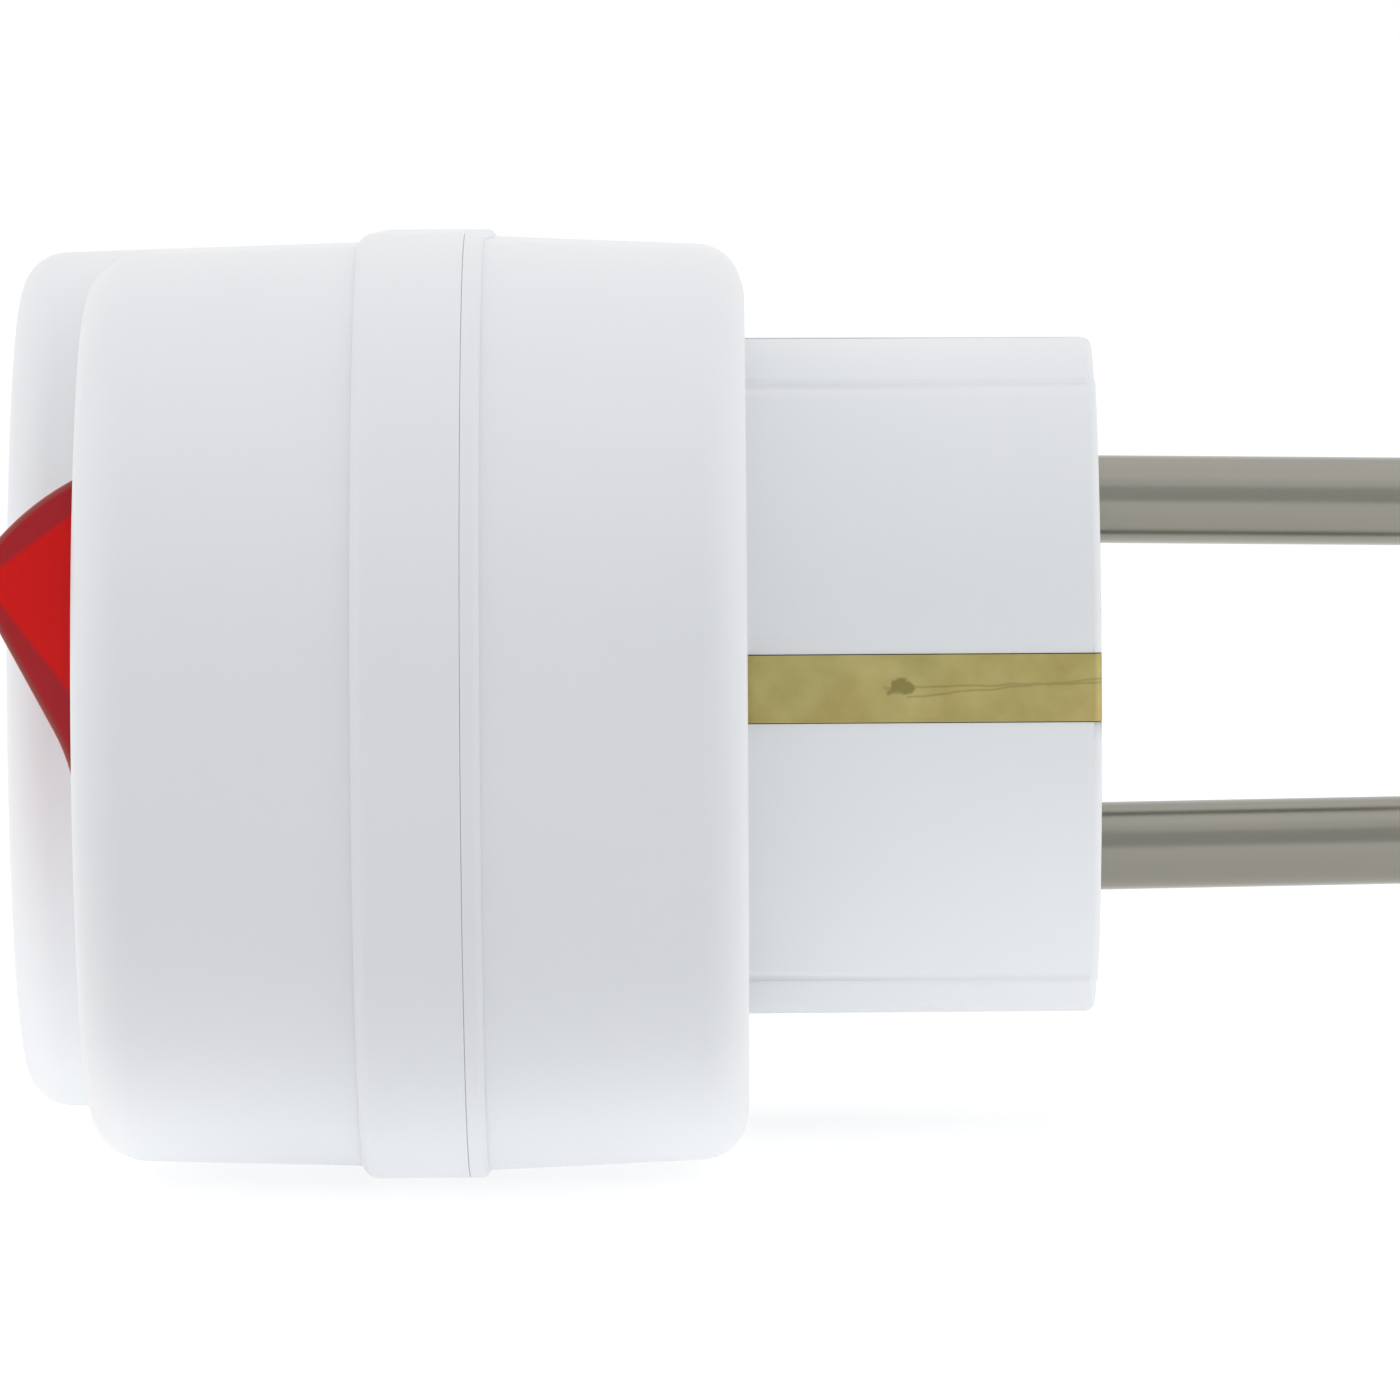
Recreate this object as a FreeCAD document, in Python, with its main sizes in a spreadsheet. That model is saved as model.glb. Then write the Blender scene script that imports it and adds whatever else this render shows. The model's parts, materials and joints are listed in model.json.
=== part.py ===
import FreeCAD, Part
import math
import os
import re

import Sketcher
from FreeCAD import Placement, Rotation, Vector

# A switched adapter plug. The origin is the middle of the plug's nose face, +X runs
# out along the plug pins, +Z is the line through both pins, and the switch end lies
# towards -Y. Lengths are millimetres and angles are degrees.
SIZES = {
    # outline of the body, seen along the plug
    "reach": 37.0,
    "front_half": 23.8,
    "front_draft": 1.6,
    "rear_half": 24.1,
    "rear_draft": 2.5,
    "band_half": 24.45,
    "band_width": 5.5,
    "band_lip": 0.9,
    "band_chamfer": 0.45,
    "lip_chamfer": 0.25,
    # depths along the plug's axis
    "plug_length": 19.0,
    "rear_depth": 14.4,
    "front_depth": 19.6,
    "collar_height": 5.2,
    # walls, edges and the joint between the two shells
    "shell_wall": 2.2,
    "front_wall": 2.0,
    "back_wall": 2.5,
    "front_edge_radius": 3.0,
    "rim_radius": 2.4,
    "mouth_radius": 0.5,
    "back_edge_radius": 2.5,
    "seam_gap": 0.1,
    "tongue_wall": 0.8,
    "tongue_length": 1.6,
    "wall_step": 0.3,
    "fit_gap": 0.1,
    "post_gap": 0.3,
    # socket well
    "well_radius": 20.0,
    "well_depth": 17.5,
    "well_floor": 3.0,
    "tube_wall": 2.4,
    "pin_spacing": 19.0,
    "entry_radius": 2.8,
    "rib_width": 4.8,
    "rib_height": 2.7,
    "rib_stop": 1.2,
    "clip_slot_width": 5.8,
    "clip_slot_depth": 1.4,
    # plug boss
    "boss_radius": 18.6,
    "sector_radius": 19.5,
    "sector_half": 16.1,
    "boss_bore": 15.4,
    "nose_wall": 4.0,
    "groove_width": 5.5,
    "groove_depth": 1.7,
    "nose_edge_radius": 0.5,
    # plug pins
    "pin_radius": 2.4,
    "pin_reach": 19.0,
    "pin_toe_in": 0.78,
    "pin_tip_radius": 1.9,
    "pin_collar": 2.6,
    "pin_hole_gap": 0.12,
    "flange_radius": 3.4,
    "flange_width": 1.4,
    "tail_radius": 1.5,
    "tail_head_radius": 2.3,
    # earth parts
    "strip_gauge": 0.8,
    "strip_width": 3.6,
    "strip_hook": 3.4,
    "strip_foot": 6.2,
    "yoke_width": 6.0,
    "yoke_half_length": 17.6,
    "yoke_eye_wall": 2.4,
    "clip_width": 5.0,
    "clip_foot": 7.6,
    "clip_bulge": 1.8,
    "clip_straight": 3.0,
    "clip_crest_depth": 7.9,
    "clip_lead_in": 1.5,
    "rivet_place": 16.6,
    "rivet_radius": 1.0,
    "rivet_head_radius": 1.6,
    "rivet_head_height": 0.5,
    # sleeves that grip the pins of the plug put into the socket, and their carrier
    "sleeve_bore": 2.45,
    "sleeve_wall": 0.75,
    "sleeve_slot": 1.0,
    "carrier_radius": 14.2,
    "carrier_plate": 1.45,
    "carrier_tube_wall": 1.2,
    "sleeve_seat_radius": 2.9,
    "sleeve_seat_depth": 1.05,
    # screws and their posts
    "post_radius": 3.0,
    "pilot_radius": 1.45,
    "screw_radius": 1.4,
    "screw_head_radius": 2.75,
    "screw_head_height": 2.0,
    "screw_head_edge": 0.6,
    "cross_length": 3.2,
    "cross_width": 0.7,
    "screw_hole_radius": 1.6,
    "counterbore_gap": 0.3,
    "nose_counterbore": 2.4,
    "nose_screw_length": 14.0,
    "foot_radius": 2.2,
    "end_post_place": 17.8,
    "end_boss_wall": 1.2,
    "end_seat_wall": 2.0,
    "end_counterbore": 6.0,
    "end_screw_length": 16.0,
    # rocker, its pivot and the travel
    "rocker_centre": 40.0,
    "rocker_width": 19.6,
    "rocker_radius": 13.7,
    "rocker_gap": 0.3,
    "rocker_wall": 1.5,
    "rocker_valley": 7.0,
    "rocker_dish_radius": 10.0,
    "rocker_tip_angle": 49.8,
    "rocker_skirt": 1.8,
    "rocker_tilt": 18.3,
    "pivot_depth": 6.2,
    "trunnion_radius": 1.5,
    "trunnion_gap": 0.05,
    "rocker_edge_radius": 0.5,
    # plungers and their springs
    "pole_spacing": 10.0,
    "guide_bore": 1.65,
    "guide_wall": 0.95,
    "guide_length": 8.0,
    "plunger_radius": 1.55,
    "plunger_tip": 11.5,
    "plunger_length": 8.3,
    "plunger_chamfer": 0.3,
    "spring_radius": 1.1,
    "spring_wire": 0.2,
    "spring_turns": 7.0,
    # rocking contact levers
    "lever_drop": 12.75,
    "lever_gauge": 0.6,
    "lever_width": 4.0,
    "lever_arm": 9.6,
    "lever_bend": 18.0,
    "lever_swing": 10.0,
    "waist_width": 3.0,
    "waist_length": 1.6,
    "contact_place": 8.3,
    "contact_radius": 1.2,
    "contact_height": 0.6,
    "contact_clearance": 0.35,
    "knife_gap": 0.06,
    # switch housing, terminals and straps
    "housing_wall": 1.3,
    "housing_end_gap": 0.5,
    "housing_depth": 3.1,
    "housing_floor": 1.4,
    "stop_width": 1.6,
    "terminal_width": 4.6,
    "ear_width": 0.6,
    "ear_height": 1.0,
    "terminal_back": 1.7,
    "terminal_lip": 0.4,
    "terminal_slot_gap": 0.05,
    "tail_length": 0.6,
    "strap_level": 1.0,
    "strap_width": 3.4,
    "strap_gap": 0.3,
    "riser_offset": 2.4,
    "lane_width": 2.4,
    "lane_offset": 0.2,
    "lane_start": 2.0,
    "near_corner_back": 2.0,
    "far_corner_ahead": 9.0,
    # neon lamp
    "lamp_radius": 2.0,
    "lamp_length": 9.0,
    "lamp_end_radius": 1.6,
    "lamp_drop": 4.8,
    "lamp_rib_wall": 1.2,
    "lamp_rib_inset": 0.5,
    "resistor_radius": 1.1,
    "resistor_length": 6.0,
    "resistor_edge": 0.25,
    "resistor_gap": 0.6,
    "lead_radius": 0.3,
    "lead_bend": 1.0,
    "lead_reach": 2.6,
}

# Planes square to the plug's axis, from the nose back to the collar's rim.
BACK = "(-plug_length)"
BACK_IN = "(-plug_length - back_wall)"
SEAM = "(-plug_length - rear_depth)"
REAR_EDGE = f"({SEAM} + seam_gap)"
TONGUE_END = f"({SEAM} - tongue_length)"
FRONT = f"({SEAM} - front_depth)"
FRONT_IN = f"({FRONT} + front_wall)"
RIM = f"({FRONT} - collar_height)"
WELL = f"({RIM} + well_depth)"
UNDER_WELL = f"({WELL} + well_floor)"
NOSE_IN = "(-nose_wall)"

# The flat earth parts lie on each other on the inner face of the back wall.
STRIP_FOOT = f"({BACK_IN} - strip_gauge)"
YOKE_TOP = f"({STRIP_FOOT} - strip_gauge)"
CLIP_FOOT = f"({YOKE_TOP} - strip_gauge)"
CARRIER = f"({CLIP_FOOT} - fit_gap / 2)"
CARRIER_TOP = f"({CARRIER} - carrier_plate)"
SLEEVE_SEAT = f"({CARRIER} - sleeve_seat_depth)"
SLEEVE_TOP = f"({UNDER_WELL} + 3 * fit_gap)"
SLEEVE_OUT = "(sleeve_bore + sleeve_wall)"
CARRIER_BORE = f"({SLEEVE_OUT} + fit_gap)"
CARRIER_TUBE = f"({CARRIER_BORE} + carrier_tube_wall)"
PIN_Z = "(pin_spacing / 2)"

TONGUE_IN = "(front_half - shell_wall)"
TONGUE_OUT = f"({TONGUE_IN} + tongue_wall)"
TONGUE_OUT_GAP = f"({TONGUE_OUT} + fit_gap)"
STRIP_HALF = "(strip_width / 2)"
RISER_FAR = "(-flange_radius - riser_offset)"
RISER_NEAR = f"({RISER_FAR} - strip_gauge)"

# The switch, from its pivot down to the straps under its housing.
PIVOT = f"({FRONT} + pivot_depth)"
LEVER = f"({PIVOT} + lever_drop)"
HOUSING_TOP = f"({FRONT_IN} + fit_gap)"
HOUSING_FLOOR = f"({LEVER} + housing_depth)"
HOUSING_BASE = f"({HOUSING_FLOOR} + housing_floor)"
LOAD_TOP = f"({HOUSING_BASE} + tail_length)"
LOAD_BASE = f"({LOAD_TOP} + strip_gauge)"
LINE_TOP = f"({LOAD_BASE} + strap_level)"
LINE_BASE = f"({LINE_TOP} + strip_gauge)"
SWITCH_HALF = "(rocker_width / 2 + rocker_gap)"
SWITCH_NEAR = f"(-rocker_centre - {SWITCH_HALF})"
SWITCH_FAR = f"(-rocker_centre + {SWITCH_HALF})"
WINDOW_RADIUS = "(rocker_radius + rocker_gap)"
HOUSING_END = "(rocker_radius + housing_end_gap)"
NEAR_POLE = "(-rocker_centre - pole_spacing / 2)"
FAR_POLE = "(-rocker_centre + pole_spacing / 2)"
POLES = {"near": NEAR_POLE, "far": FAR_POLE}
LAMP = f"({PIVOT} + lamp_drop)"
END_POST = "(-reach - end_post_place)"
END_SEAT = f"({BACK} - end_counterbore)"
SLOPE = "(lever_bend - lever_swing)"
CONTACT_DROP = f"(contact_place * tan({SLOPE}))"
CONTACT_TOP = f"({LEVER} - {CONTACT_DROP} + contact_height + contact_radius * sin({SLOPE}))"
TONGUE = f"({CONTACT_TOP} + contact_clearance + contact_height)"
LOAD_Z = "(-contact_place - terminal_back)"
LEAD_Z = "(lamp_length / 2 + lead_reach)"
RESISTOR_END = f"({LAMP} + lead_bend + resistor_gap)"

# Both sides of a middle plane, and how far a cut runs past the face that it opens.
SIDES = ("", "-")
OTHER_SIDE = {"": "-", "-": ""}
PAST = "1"
CLOSE = 0.01

document = FreeCAD.newDocument("SwitchedAdapterPlug")
sheet = document.addObject("Spreadsheet::Sheet", "Sizes")
for row, (alias, size) in enumerate(SIZES.items(), start=1):
    sheet.set(f"A{row}", alias.replace("_", " "))
    sheet.set(f"B{row}", str(size))
    sheet.setAlias(f"B{row}", alias)
document.recompute()


def sized(text):
    """Return an expression with the sheet's name before every size in it."""
    return re.sub(r"[a-z_]{3,}", lambda word: "Sizes." * (word[0] in SIZES) + word[0], text)


def value(text):
    """Return the number that an expression of sizes has now."""
    return float(sheet.evalExpression(sized(text)))


def new_body(label):
    """Return an empty body whose label is the name of its node."""
    body = document.addObject("PartDesign::Body", label.title().replace("_", ""))
    body.Label = label
    return body


def new_sketch(body, role, offset="0"):
    """Return a sketch on one of the body's own planes, moved along the plane's normal."""
    plane = [item for item in body.Origin.OriginFeatures if item.Role == role][0]
    sketch = body.newObject("Sketcher::SketchObject", f"{body.Name}Sketch")
    sketch.AttachmentSupport = [(plane, "")]
    sketch.MapMode = "FlatFace"
    sketch.setExpression("AttachmentOffset.Base.z", sized(offset))
    return sketch


def constrain(sketch, kind, *items, text):
    """Add a constraint whose value is an expression of sizes."""
    number = sketch.addConstraint(Sketcher.Constraint(kind, *items, value(text)))
    sketch.setExpression(f"Constraints[{number}]", sized(text))


def place_point(sketch, line, end, point):
    """Tie one end of a line or arc to its two coordinates."""
    constrain(sketch, "DistanceX", -1, 1, line, end, text=point[0])
    constrain(sketch, "DistanceY", -1, 1, line, end, text=point[1])


def add_circle(sketch, point, radius):
    """Add a circle by its centre and radius."""
    centre = Vector(value(point[0]), value(point[1]), 0)
    circle = sketch.addGeometry(Part.Circle(centre, Vector(0, 0, 1), value(radius)))
    place_point(sketch, circle, 3, point)
    constrain(sketch, "Radius", circle, text=radius)


def add_outline(sketch, points, arcs=None):
    """Add a closed outline of straight sides; arcs maps a side to its centre and turn.

    Side i runs from point i to the next one, and turn is 1 for an arc that goes
    counter-clockwise and -1 for one that goes clockwise. The ends fix an arc but for one
    coordinate of its centre, the one that lies along its bisector.
    """
    arcs = arcs or {}
    count = len(points)
    spots = [Vector(value(across), value(up), 0) for across, up in points]
    starts = []
    ends = []
    for side in range(count):
        first = spots[side]
        last = spots[(side + 1) % count]
        if side not in arcs:
            line = sketch.addGeometry(Part.LineSegment(first, last))
            starts.append((line, 1))
            ends.append((line, 2))
            continue
        centre, turn = arcs[side]
        middle = Vector(value(centre[0]), value(centre[1]), 0)
        begin, finish = (first, last) if turn > 0 else (last, first)
        low = math.atan2(begin.y - middle.y, begin.x - middle.x)
        high = math.atan2(finish.y - middle.y, finish.x - middle.x)
        if high <= low:
            high += 2 * math.pi
        circle = Part.Circle(middle, Vector(0, 0, 1), first.distanceToPoint(middle))
        line = sketch.addGeometry(Part.ArcOfCircle(circle, low, high))
        starts.append((line, 1 if turn > 0 else 2))
        ends.append((line, 2 if turn > 0 else 1))
    for side in range(count):
        following = starts[(side + 1) % count]
        sketch.addConstraint(Sketcher.Constraint("Coincident", *ends[side], *following))
        place_point(sketch, *starts[side], points[side])
    for side, (centre, turn) in arcs.items():
        chord = spots[(side + 1) % count] - spots[side]
        if abs(chord.y) > abs(chord.x):
            constrain(sketch, "DistanceX", -1, 1, starts[side][0], 3, text=centre[0])
        else:
            constrain(sketch, "DistanceY", -1, 1, starts[side][0], 3, text=centre[1])


def add_box(sketch, low, high):
    """Add a rectangle by its lowest and highest corners."""
    corners = [low, (high[0], low[1]), high, (low[0], high[1])]
    add_outline(sketch, corners)


def add_stadium(sketch, half):
    """Add the body's outline: two half circles joined by straight sides."""
    corners = [("0", f"-{half}"), ("0", half), ("-reach", half), ("-reach", f"-{half}")]
    ends = {0: (("0", "0"), 1), 2: (("-reach", "0"), 1)}
    add_outline(sketch, corners, ends)


def raise_sketch(sketch, length, kind="Pad", back=False, both=False, draft=None):
    """Pad or pocket a sketch over a length, along its normal, against it or both ways."""
    body = sketch.getParentGeoFeatureGroup()
    feature = body.newObject(f"PartDesign::{kind}", f"{body.Name}{kind}")
    feature.Profile = sketch
    feature.setExpression("Length", sized(length))
    feature.Reversed = back
    if both:
        feature.SideType = "Symmetric"
    if draft:
        feature.setExpression("TaperAngle", sized(draft))
    sketch.Visibility = False
    document.recompute()
    base = feature.BaseFeature
    if kind == "Pocket" and feature.Shape.Volume > base.Shape.Volume - CLOSE:
        raise ValueError(f"{feature.Name} cuts nothing")
    return feature


def turn_sketch(sketch, axis, kind="Revolution"):
    """Turn a sketch about one of its own axes into a round solid or a round cut."""
    body = sketch.getParentGeoFeatureGroup()
    feature = body.newObject(f"PartDesign::{kind}", f"{body.Name}{kind}")
    feature.Profile = sketch
    feature.ReferenceAxis = (sketch, [axis])
    feature.Angle = 360
    sketch.Visibility = False
    document.recompute()
    if kind == "Groove" and feature.Shape.Volume > feature.BaseFeature.Shape.Volume - CLOSE:
        raise ValueError(f"{feature.Name} cuts nothing")
    return feature


def ease_edges(body, test, size, kind="Fillet"):
    """Round or chamfer the edges of a body's last feature that pass a test."""
    last = body.Tip
    names = [f"Edge{i}" for i, edge in enumerate(last.Shape.Edges, start=1) if test(edge)]
    feature = body.newObject(f"PartDesign::{kind}", f"{body.Name}{kind}")
    feature.Base = (last, names)
    feature.setExpression("Radius" if kind == "Fillet" else "Size", sized(size))
    document.recompute()
    return feature


def in_plane(edge, plane):
    """Say whether an edge lies in a plane square to the plug's axis."""
    box = edge.BoundBox
    return abs(box.XMin - plane) < CLOSE / 10 and abs(box.XMax - plane) < CLOSE / 10


def outer_reach(edge):
    """Return how far an edge lies from the nearer of the outline's two centres."""
    middle = edge.valueAt((edge.FirstParameter + edge.LastParameter) / 2)
    inland = min(max(middle.y, -value("reach")), 0)
    return math.hypot(middle.y - inland, middle.z)


def put(body, x, y, z, angle=None):
    """Place a body drawn about its own origin, turned about the Y direction."""
    body.Placement = Placement(Vector(0, 0, 0), Rotation(Vector(0, 1, 0), 1))
    for letter, text in zip("xyz", (x, y, z)):
        body.setExpression(f"Placement.Base.{letter}", sized(text))
    body.setExpression("Placement.Rotation.Angle", sized(angle or "0"))


def front_cover():
    """The shell with the socket well, the rocker's window and the screw posts."""
    body = new_body("front_cover")
    slim = "(front_half - (front_depth - band_width) * tan(front_draft))"
    shell = new_sketch(body, "YZ_Plane", f"{SEAM} - band_width")
    add_stadium(shell, "front_half")
    raise_sketch(shell, "front_depth - band_width", back=True, draft="-front_draft")
    ease_edges(body, lambda edge: in_plane(edge, value(FRONT)), "front_edge_radius")

    band = new_sketch(body, "YZ_Plane", SEAM)
    add_stadium(band, "band_half")
    raise_sketch(band, "band_width", back=True)
    edge_plane = value(f"{SEAM} - band_width")
    ease_edges(
        body,
        lambda edge: in_plane(edge, edge_plane) and outer_reach(edge) > value("band_half") - CLOSE,
        "band_chamfer",
        "Chamfer",
    )

    collar = new_sketch(body, "YZ_Plane", f"{FRONT} + front_edge_radius")
    add_circle(collar, ("0", "0"), f"({slim} + front_edge_radius * tan(front_draft))")
    raise_sketch(collar, "collar_height + front_edge_radius", back=True, draft="-front_draft")
    ease_edges(body, lambda edge: in_plane(edge, value(RIM)), "rim_radius")

    hollow = new_sketch(body, "YZ_Plane", SEAM)
    add_stadium(hollow, "(front_half - shell_wall)")
    raise_sketch(hollow, f"{SEAM} - {UNDER_WELL}", "Pocket")
    tube = "(well_radius + tube_wall)"
    inner = "(front_half - shell_wall - wall_step)"
    meet = f"(-sqrt({tube} * {tube} - {inner} * {inner}))"
    hollow = new_sketch(body, "YZ_Plane", UNDER_WELL)
    add_outline(
        hollow,
        [(meet, inner), ("-reach", inner), ("-reach", f"-{inner}"), (meet, f"-{inner}")],
        {1: (("-reach", "0"), 1), 3: (("0", "0"), -1)},
    )
    raise_sketch(hollow, f"{UNDER_WELL} - {FRONT_IN}", "Pocket")
    rabbet = new_sketch(body, "YZ_Plane", SEAM)
    add_stadium(rabbet, TONGUE_OUT_GAP)
    raise_sketch(rabbet, "tongue_length", "Pocket")

    well = new_sketch(body, "YZ_Plane", RIM)
    add_circle(well, ("0", "0"), "well_radius")
    raise_sketch(well, "well_depth", "Pocket", back=True)
    mouth = value("well_radius") + CLOSE
    ease_edges(
        body,
        lambda edge: in_plane(edge, value(RIM)) and outer_reach(edge) < mouth,
        "mouth_radius",
    )
    guide_ribs(body)
    clip_slots(body)
    for side in SIDES:
        entry = new_sketch(body, "YZ_Plane", WELL)
        add_circle(entry, ("0", f"{side}{PIN_Z}"), "entry_radius")
        raise_sketch(entry, f"well_floor + {PAST}", "Pocket", back=True)

    window = new_sketch(body, "XZ_Plane", f"-{SWITCH_NEAR}")
    add_circle(window, (PIVOT, "0"), WINDOW_RADIUS)
    raise_sketch(window, f"2 * {SWITCH_HALF}", "Pocket")

    posts = [
        (UNDER_WELL, "0", f"{NOSE_IN} - {UNDER_WELL} - fit_gap"),
        (FRONT_IN, END_POST, f"{SEAM} - {FRONT_IN}"),
    ]
    for start, across, length in posts:
        post = new_sketch(body, "YZ_Plane", start)
        add_circle(post, (across, "0"), "post_radius")
        raise_sketch(post, length)
    pilots = [
        (f"{NOSE_IN} - fit_gap", "0", "nose_screw_length"),
        (SEAM, END_POST, "end_screw_length"),
    ]
    for start, across, length in pilots:
        pilot = new_sketch(body, "YZ_Plane", start)
        add_circle(pilot, (across, "0"), "pilot_radius")
        raise_sketch(pilot, length, "Pocket")
    return body


def guide_ribs(body):
    """Add the two ribs that run down the well, in line with the pins."""
    for side in SIDES:
        rib = new_sketch(body, "YZ_Plane", WELL)
        low = f"{side}(well_radius - rib_height)"
        high = f"{side}(well_radius + tube_wall / 2)"
        add_box(rib, ("-rib_width / 2", low), ("rib_width / 2", high))
        raise_sketch(rib, "well_depth - rib_stop", back=True)


def clip_slots(body):
    """Cut the two slots beside the well that the earth clips stand in."""
    for side in SIDES:
        slot = new_sketch(body, "YZ_Plane", UNDER_WELL)
        low = (f"{side}(well_radius - clip_slot_depth)", "-clip_slot_width / 2")
        high = (f"{side}(well_radius + clip_slot_depth)", "clip_slot_width / 2")
        add_box(slot, low, high)
        raise_sketch(slot, "well_floor + well_depth - rib_stop", "Pocket")


def rear_cover():
    """The shell with the plug boss, its grooves and the seats of the earth strips."""
    body = new_body("rear_cover")
    shell = new_sketch(body, "YZ_Plane", REAR_EDGE)
    add_stadium(shell, "rear_half")
    raise_sketch(shell, "rear_depth - seam_gap", draft="-rear_draft")
    ease_edges(body, lambda edge: in_plane(edge, value(BACK)), "back_edge_radius")
    lip = new_sketch(body, "YZ_Plane", REAR_EDGE)
    add_stadium(lip, "band_half")
    raise_sketch(lip, "band_lip")
    lip_plane = value(f"{REAR_EDGE} + band_lip")
    ease_edges(
        body,
        lambda edge: in_plane(edge, lip_plane) and outer_reach(edge) > value("band_half") - CLOSE,
        "lip_chamfer",
        "Chamfer",
    )
    plug_boss(body)

    hollow = new_sketch(body, "YZ_Plane", REAR_EDGE)
    add_stadium(hollow, TONGUE_IN)
    raise_sketch(hollow, f"{BACK_IN} - {REAR_EDGE}", "Pocket", back=True)
    tongue = new_sketch(body, "YZ_Plane", REAR_EDGE)
    add_stadium(tongue, TONGUE_OUT)
    add_stadium(tongue, TONGUE_IN)
    raise_sketch(tongue, f"{REAR_EDGE} - {TONGUE_END}", back=True)

    bore = new_sketch(body, "YZ_Plane", BACK_IN)
    add_circle(bore, ("0", "0"), "boss_bore")
    raise_sketch(bore, f"{NOSE_IN} - {BACK_IN}", "Pocket", back=True)
    earth_seats(body)
    for side in SIDES:
        hole = new_sketch(body, "YZ_Plane", "0")
        add_circle(hole, ("0", f"{side}{PIN_Z}"), "pin_collar + pin_hole_gap")
        raise_sketch(hole, f"nose_wall + {PAST}", "Pocket")
    screw_seats(body)

    for across in (SWITCH_NEAR, SWITCH_FAR):
        for side in SIDES:
            foot = new_sketch(body, "YZ_Plane", BACK_IN)
            add_circle(foot, (across, f"{side}{HOUSING_END}"), "foot_radius")
            raise_sketch(foot, f"{BACK_IN} - {HOUSING_BASE}", back=True)
    return body


def round_boss(body, radius):
    """Add a round boss with an eased nose edge, out to the plug's nose face."""
    start = f"({BACK} - back_wall / 2)"
    low = f"({radius} - nose_edge_radius)"
    corners = [
        (start, "0"),
        ("0", "0"),
        ("0", low),
        ("-nose_edge_radius", radius),
        (start, radius),
    ]
    profile = new_sketch(body, "XZ_Plane")
    add_outline(profile, corners, {2: (("-nose_edge_radius", low), 1)})
    turn_sketch(profile, "H_Axis")


def plug_boss(body):
    """Add the round boss, its two raised sectors and the guide grooves."""
    round_boss(body, "sector_radius")
    for side in SIDES:
        flat = new_sketch(body, "YZ_Plane", "0")
        high = f"{side}(sector_radius + {PAST})"
        add_box(flat, ("-sector_radius", f"{side}sector_half"), ("sector_radius", high))
        raise_sketch(flat, "plug_length", "Pocket")
    round_boss(body, "boss_radius")
    for side in SIDES:
        groove = new_sketch(body, "YZ_Plane", "0")
        low = f"{side}(boss_radius - groove_depth)"
        high = f"{side}(sector_radius + {PAST})"
        add_box(groove, ("-groove_width / 2", low), ("groove_width / 2", high))
        raise_sketch(groove, "plug_length", "Pocket")


def earth_seats(body):
    """Cut the seats of the earth strips: beside the boss, over its nose and inside."""
    half = f"({STRIP_HALF} + fit_gap / 2)"
    inner = "(sector_radius - strip_gauge - fit_gap / 2)"
    for side in SIDES:
        seats = [
            ("0", inner, f"sector_radius + {PAST}", f"-{BACK_IN}"),
            ("0", "(sector_radius - strip_hook - fit_gap)", "sector_radius", "strip_gauge"),
        ]
        for start, low, high, depth in seats:
            seat = new_sketch(body, "YZ_Plane", start)
            add_box(seat, (f"{side}({low})", f"-{half}"), (f"{side}({high})", half))
            raise_sketch(seat, depth, "Pocket")


def screw_seats(body):
    """Cut the nose screw's hole and add the end screw's boss with its hole."""
    head = "(screw_head_radius + counterbore_gap)"
    stages = [
        (f"({head} + end_boss_wall)", f"{BACK_IN} - {END_SEAT} + end_seat_wall"),
        ("post_radius", f"{BACK_IN} - {SEAM} - fit_gap / 2"),
    ]
    for radius, height in stages:
        boss = new_sketch(body, "YZ_Plane", BACK_IN)
        add_circle(boss, (END_POST, "0"), radius)
        raise_sketch(boss, height, back=True)
    holes = [
        ("0", "0", head, "nose_counterbore"),
        ("0", "0", "screw_hole_radius", "nose_wall"),
        (BACK, END_POST, head, "end_counterbore"),
        (BACK, END_POST, "screw_hole_radius", "rear_depth"),
    ]
    for start, across, radius, depth in holes:
        hole = new_sketch(body, "YZ_Plane", start)
        add_circle(hole, (across, "0"), radius)
        raise_sketch(hole, depth, "Pocket")


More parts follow.
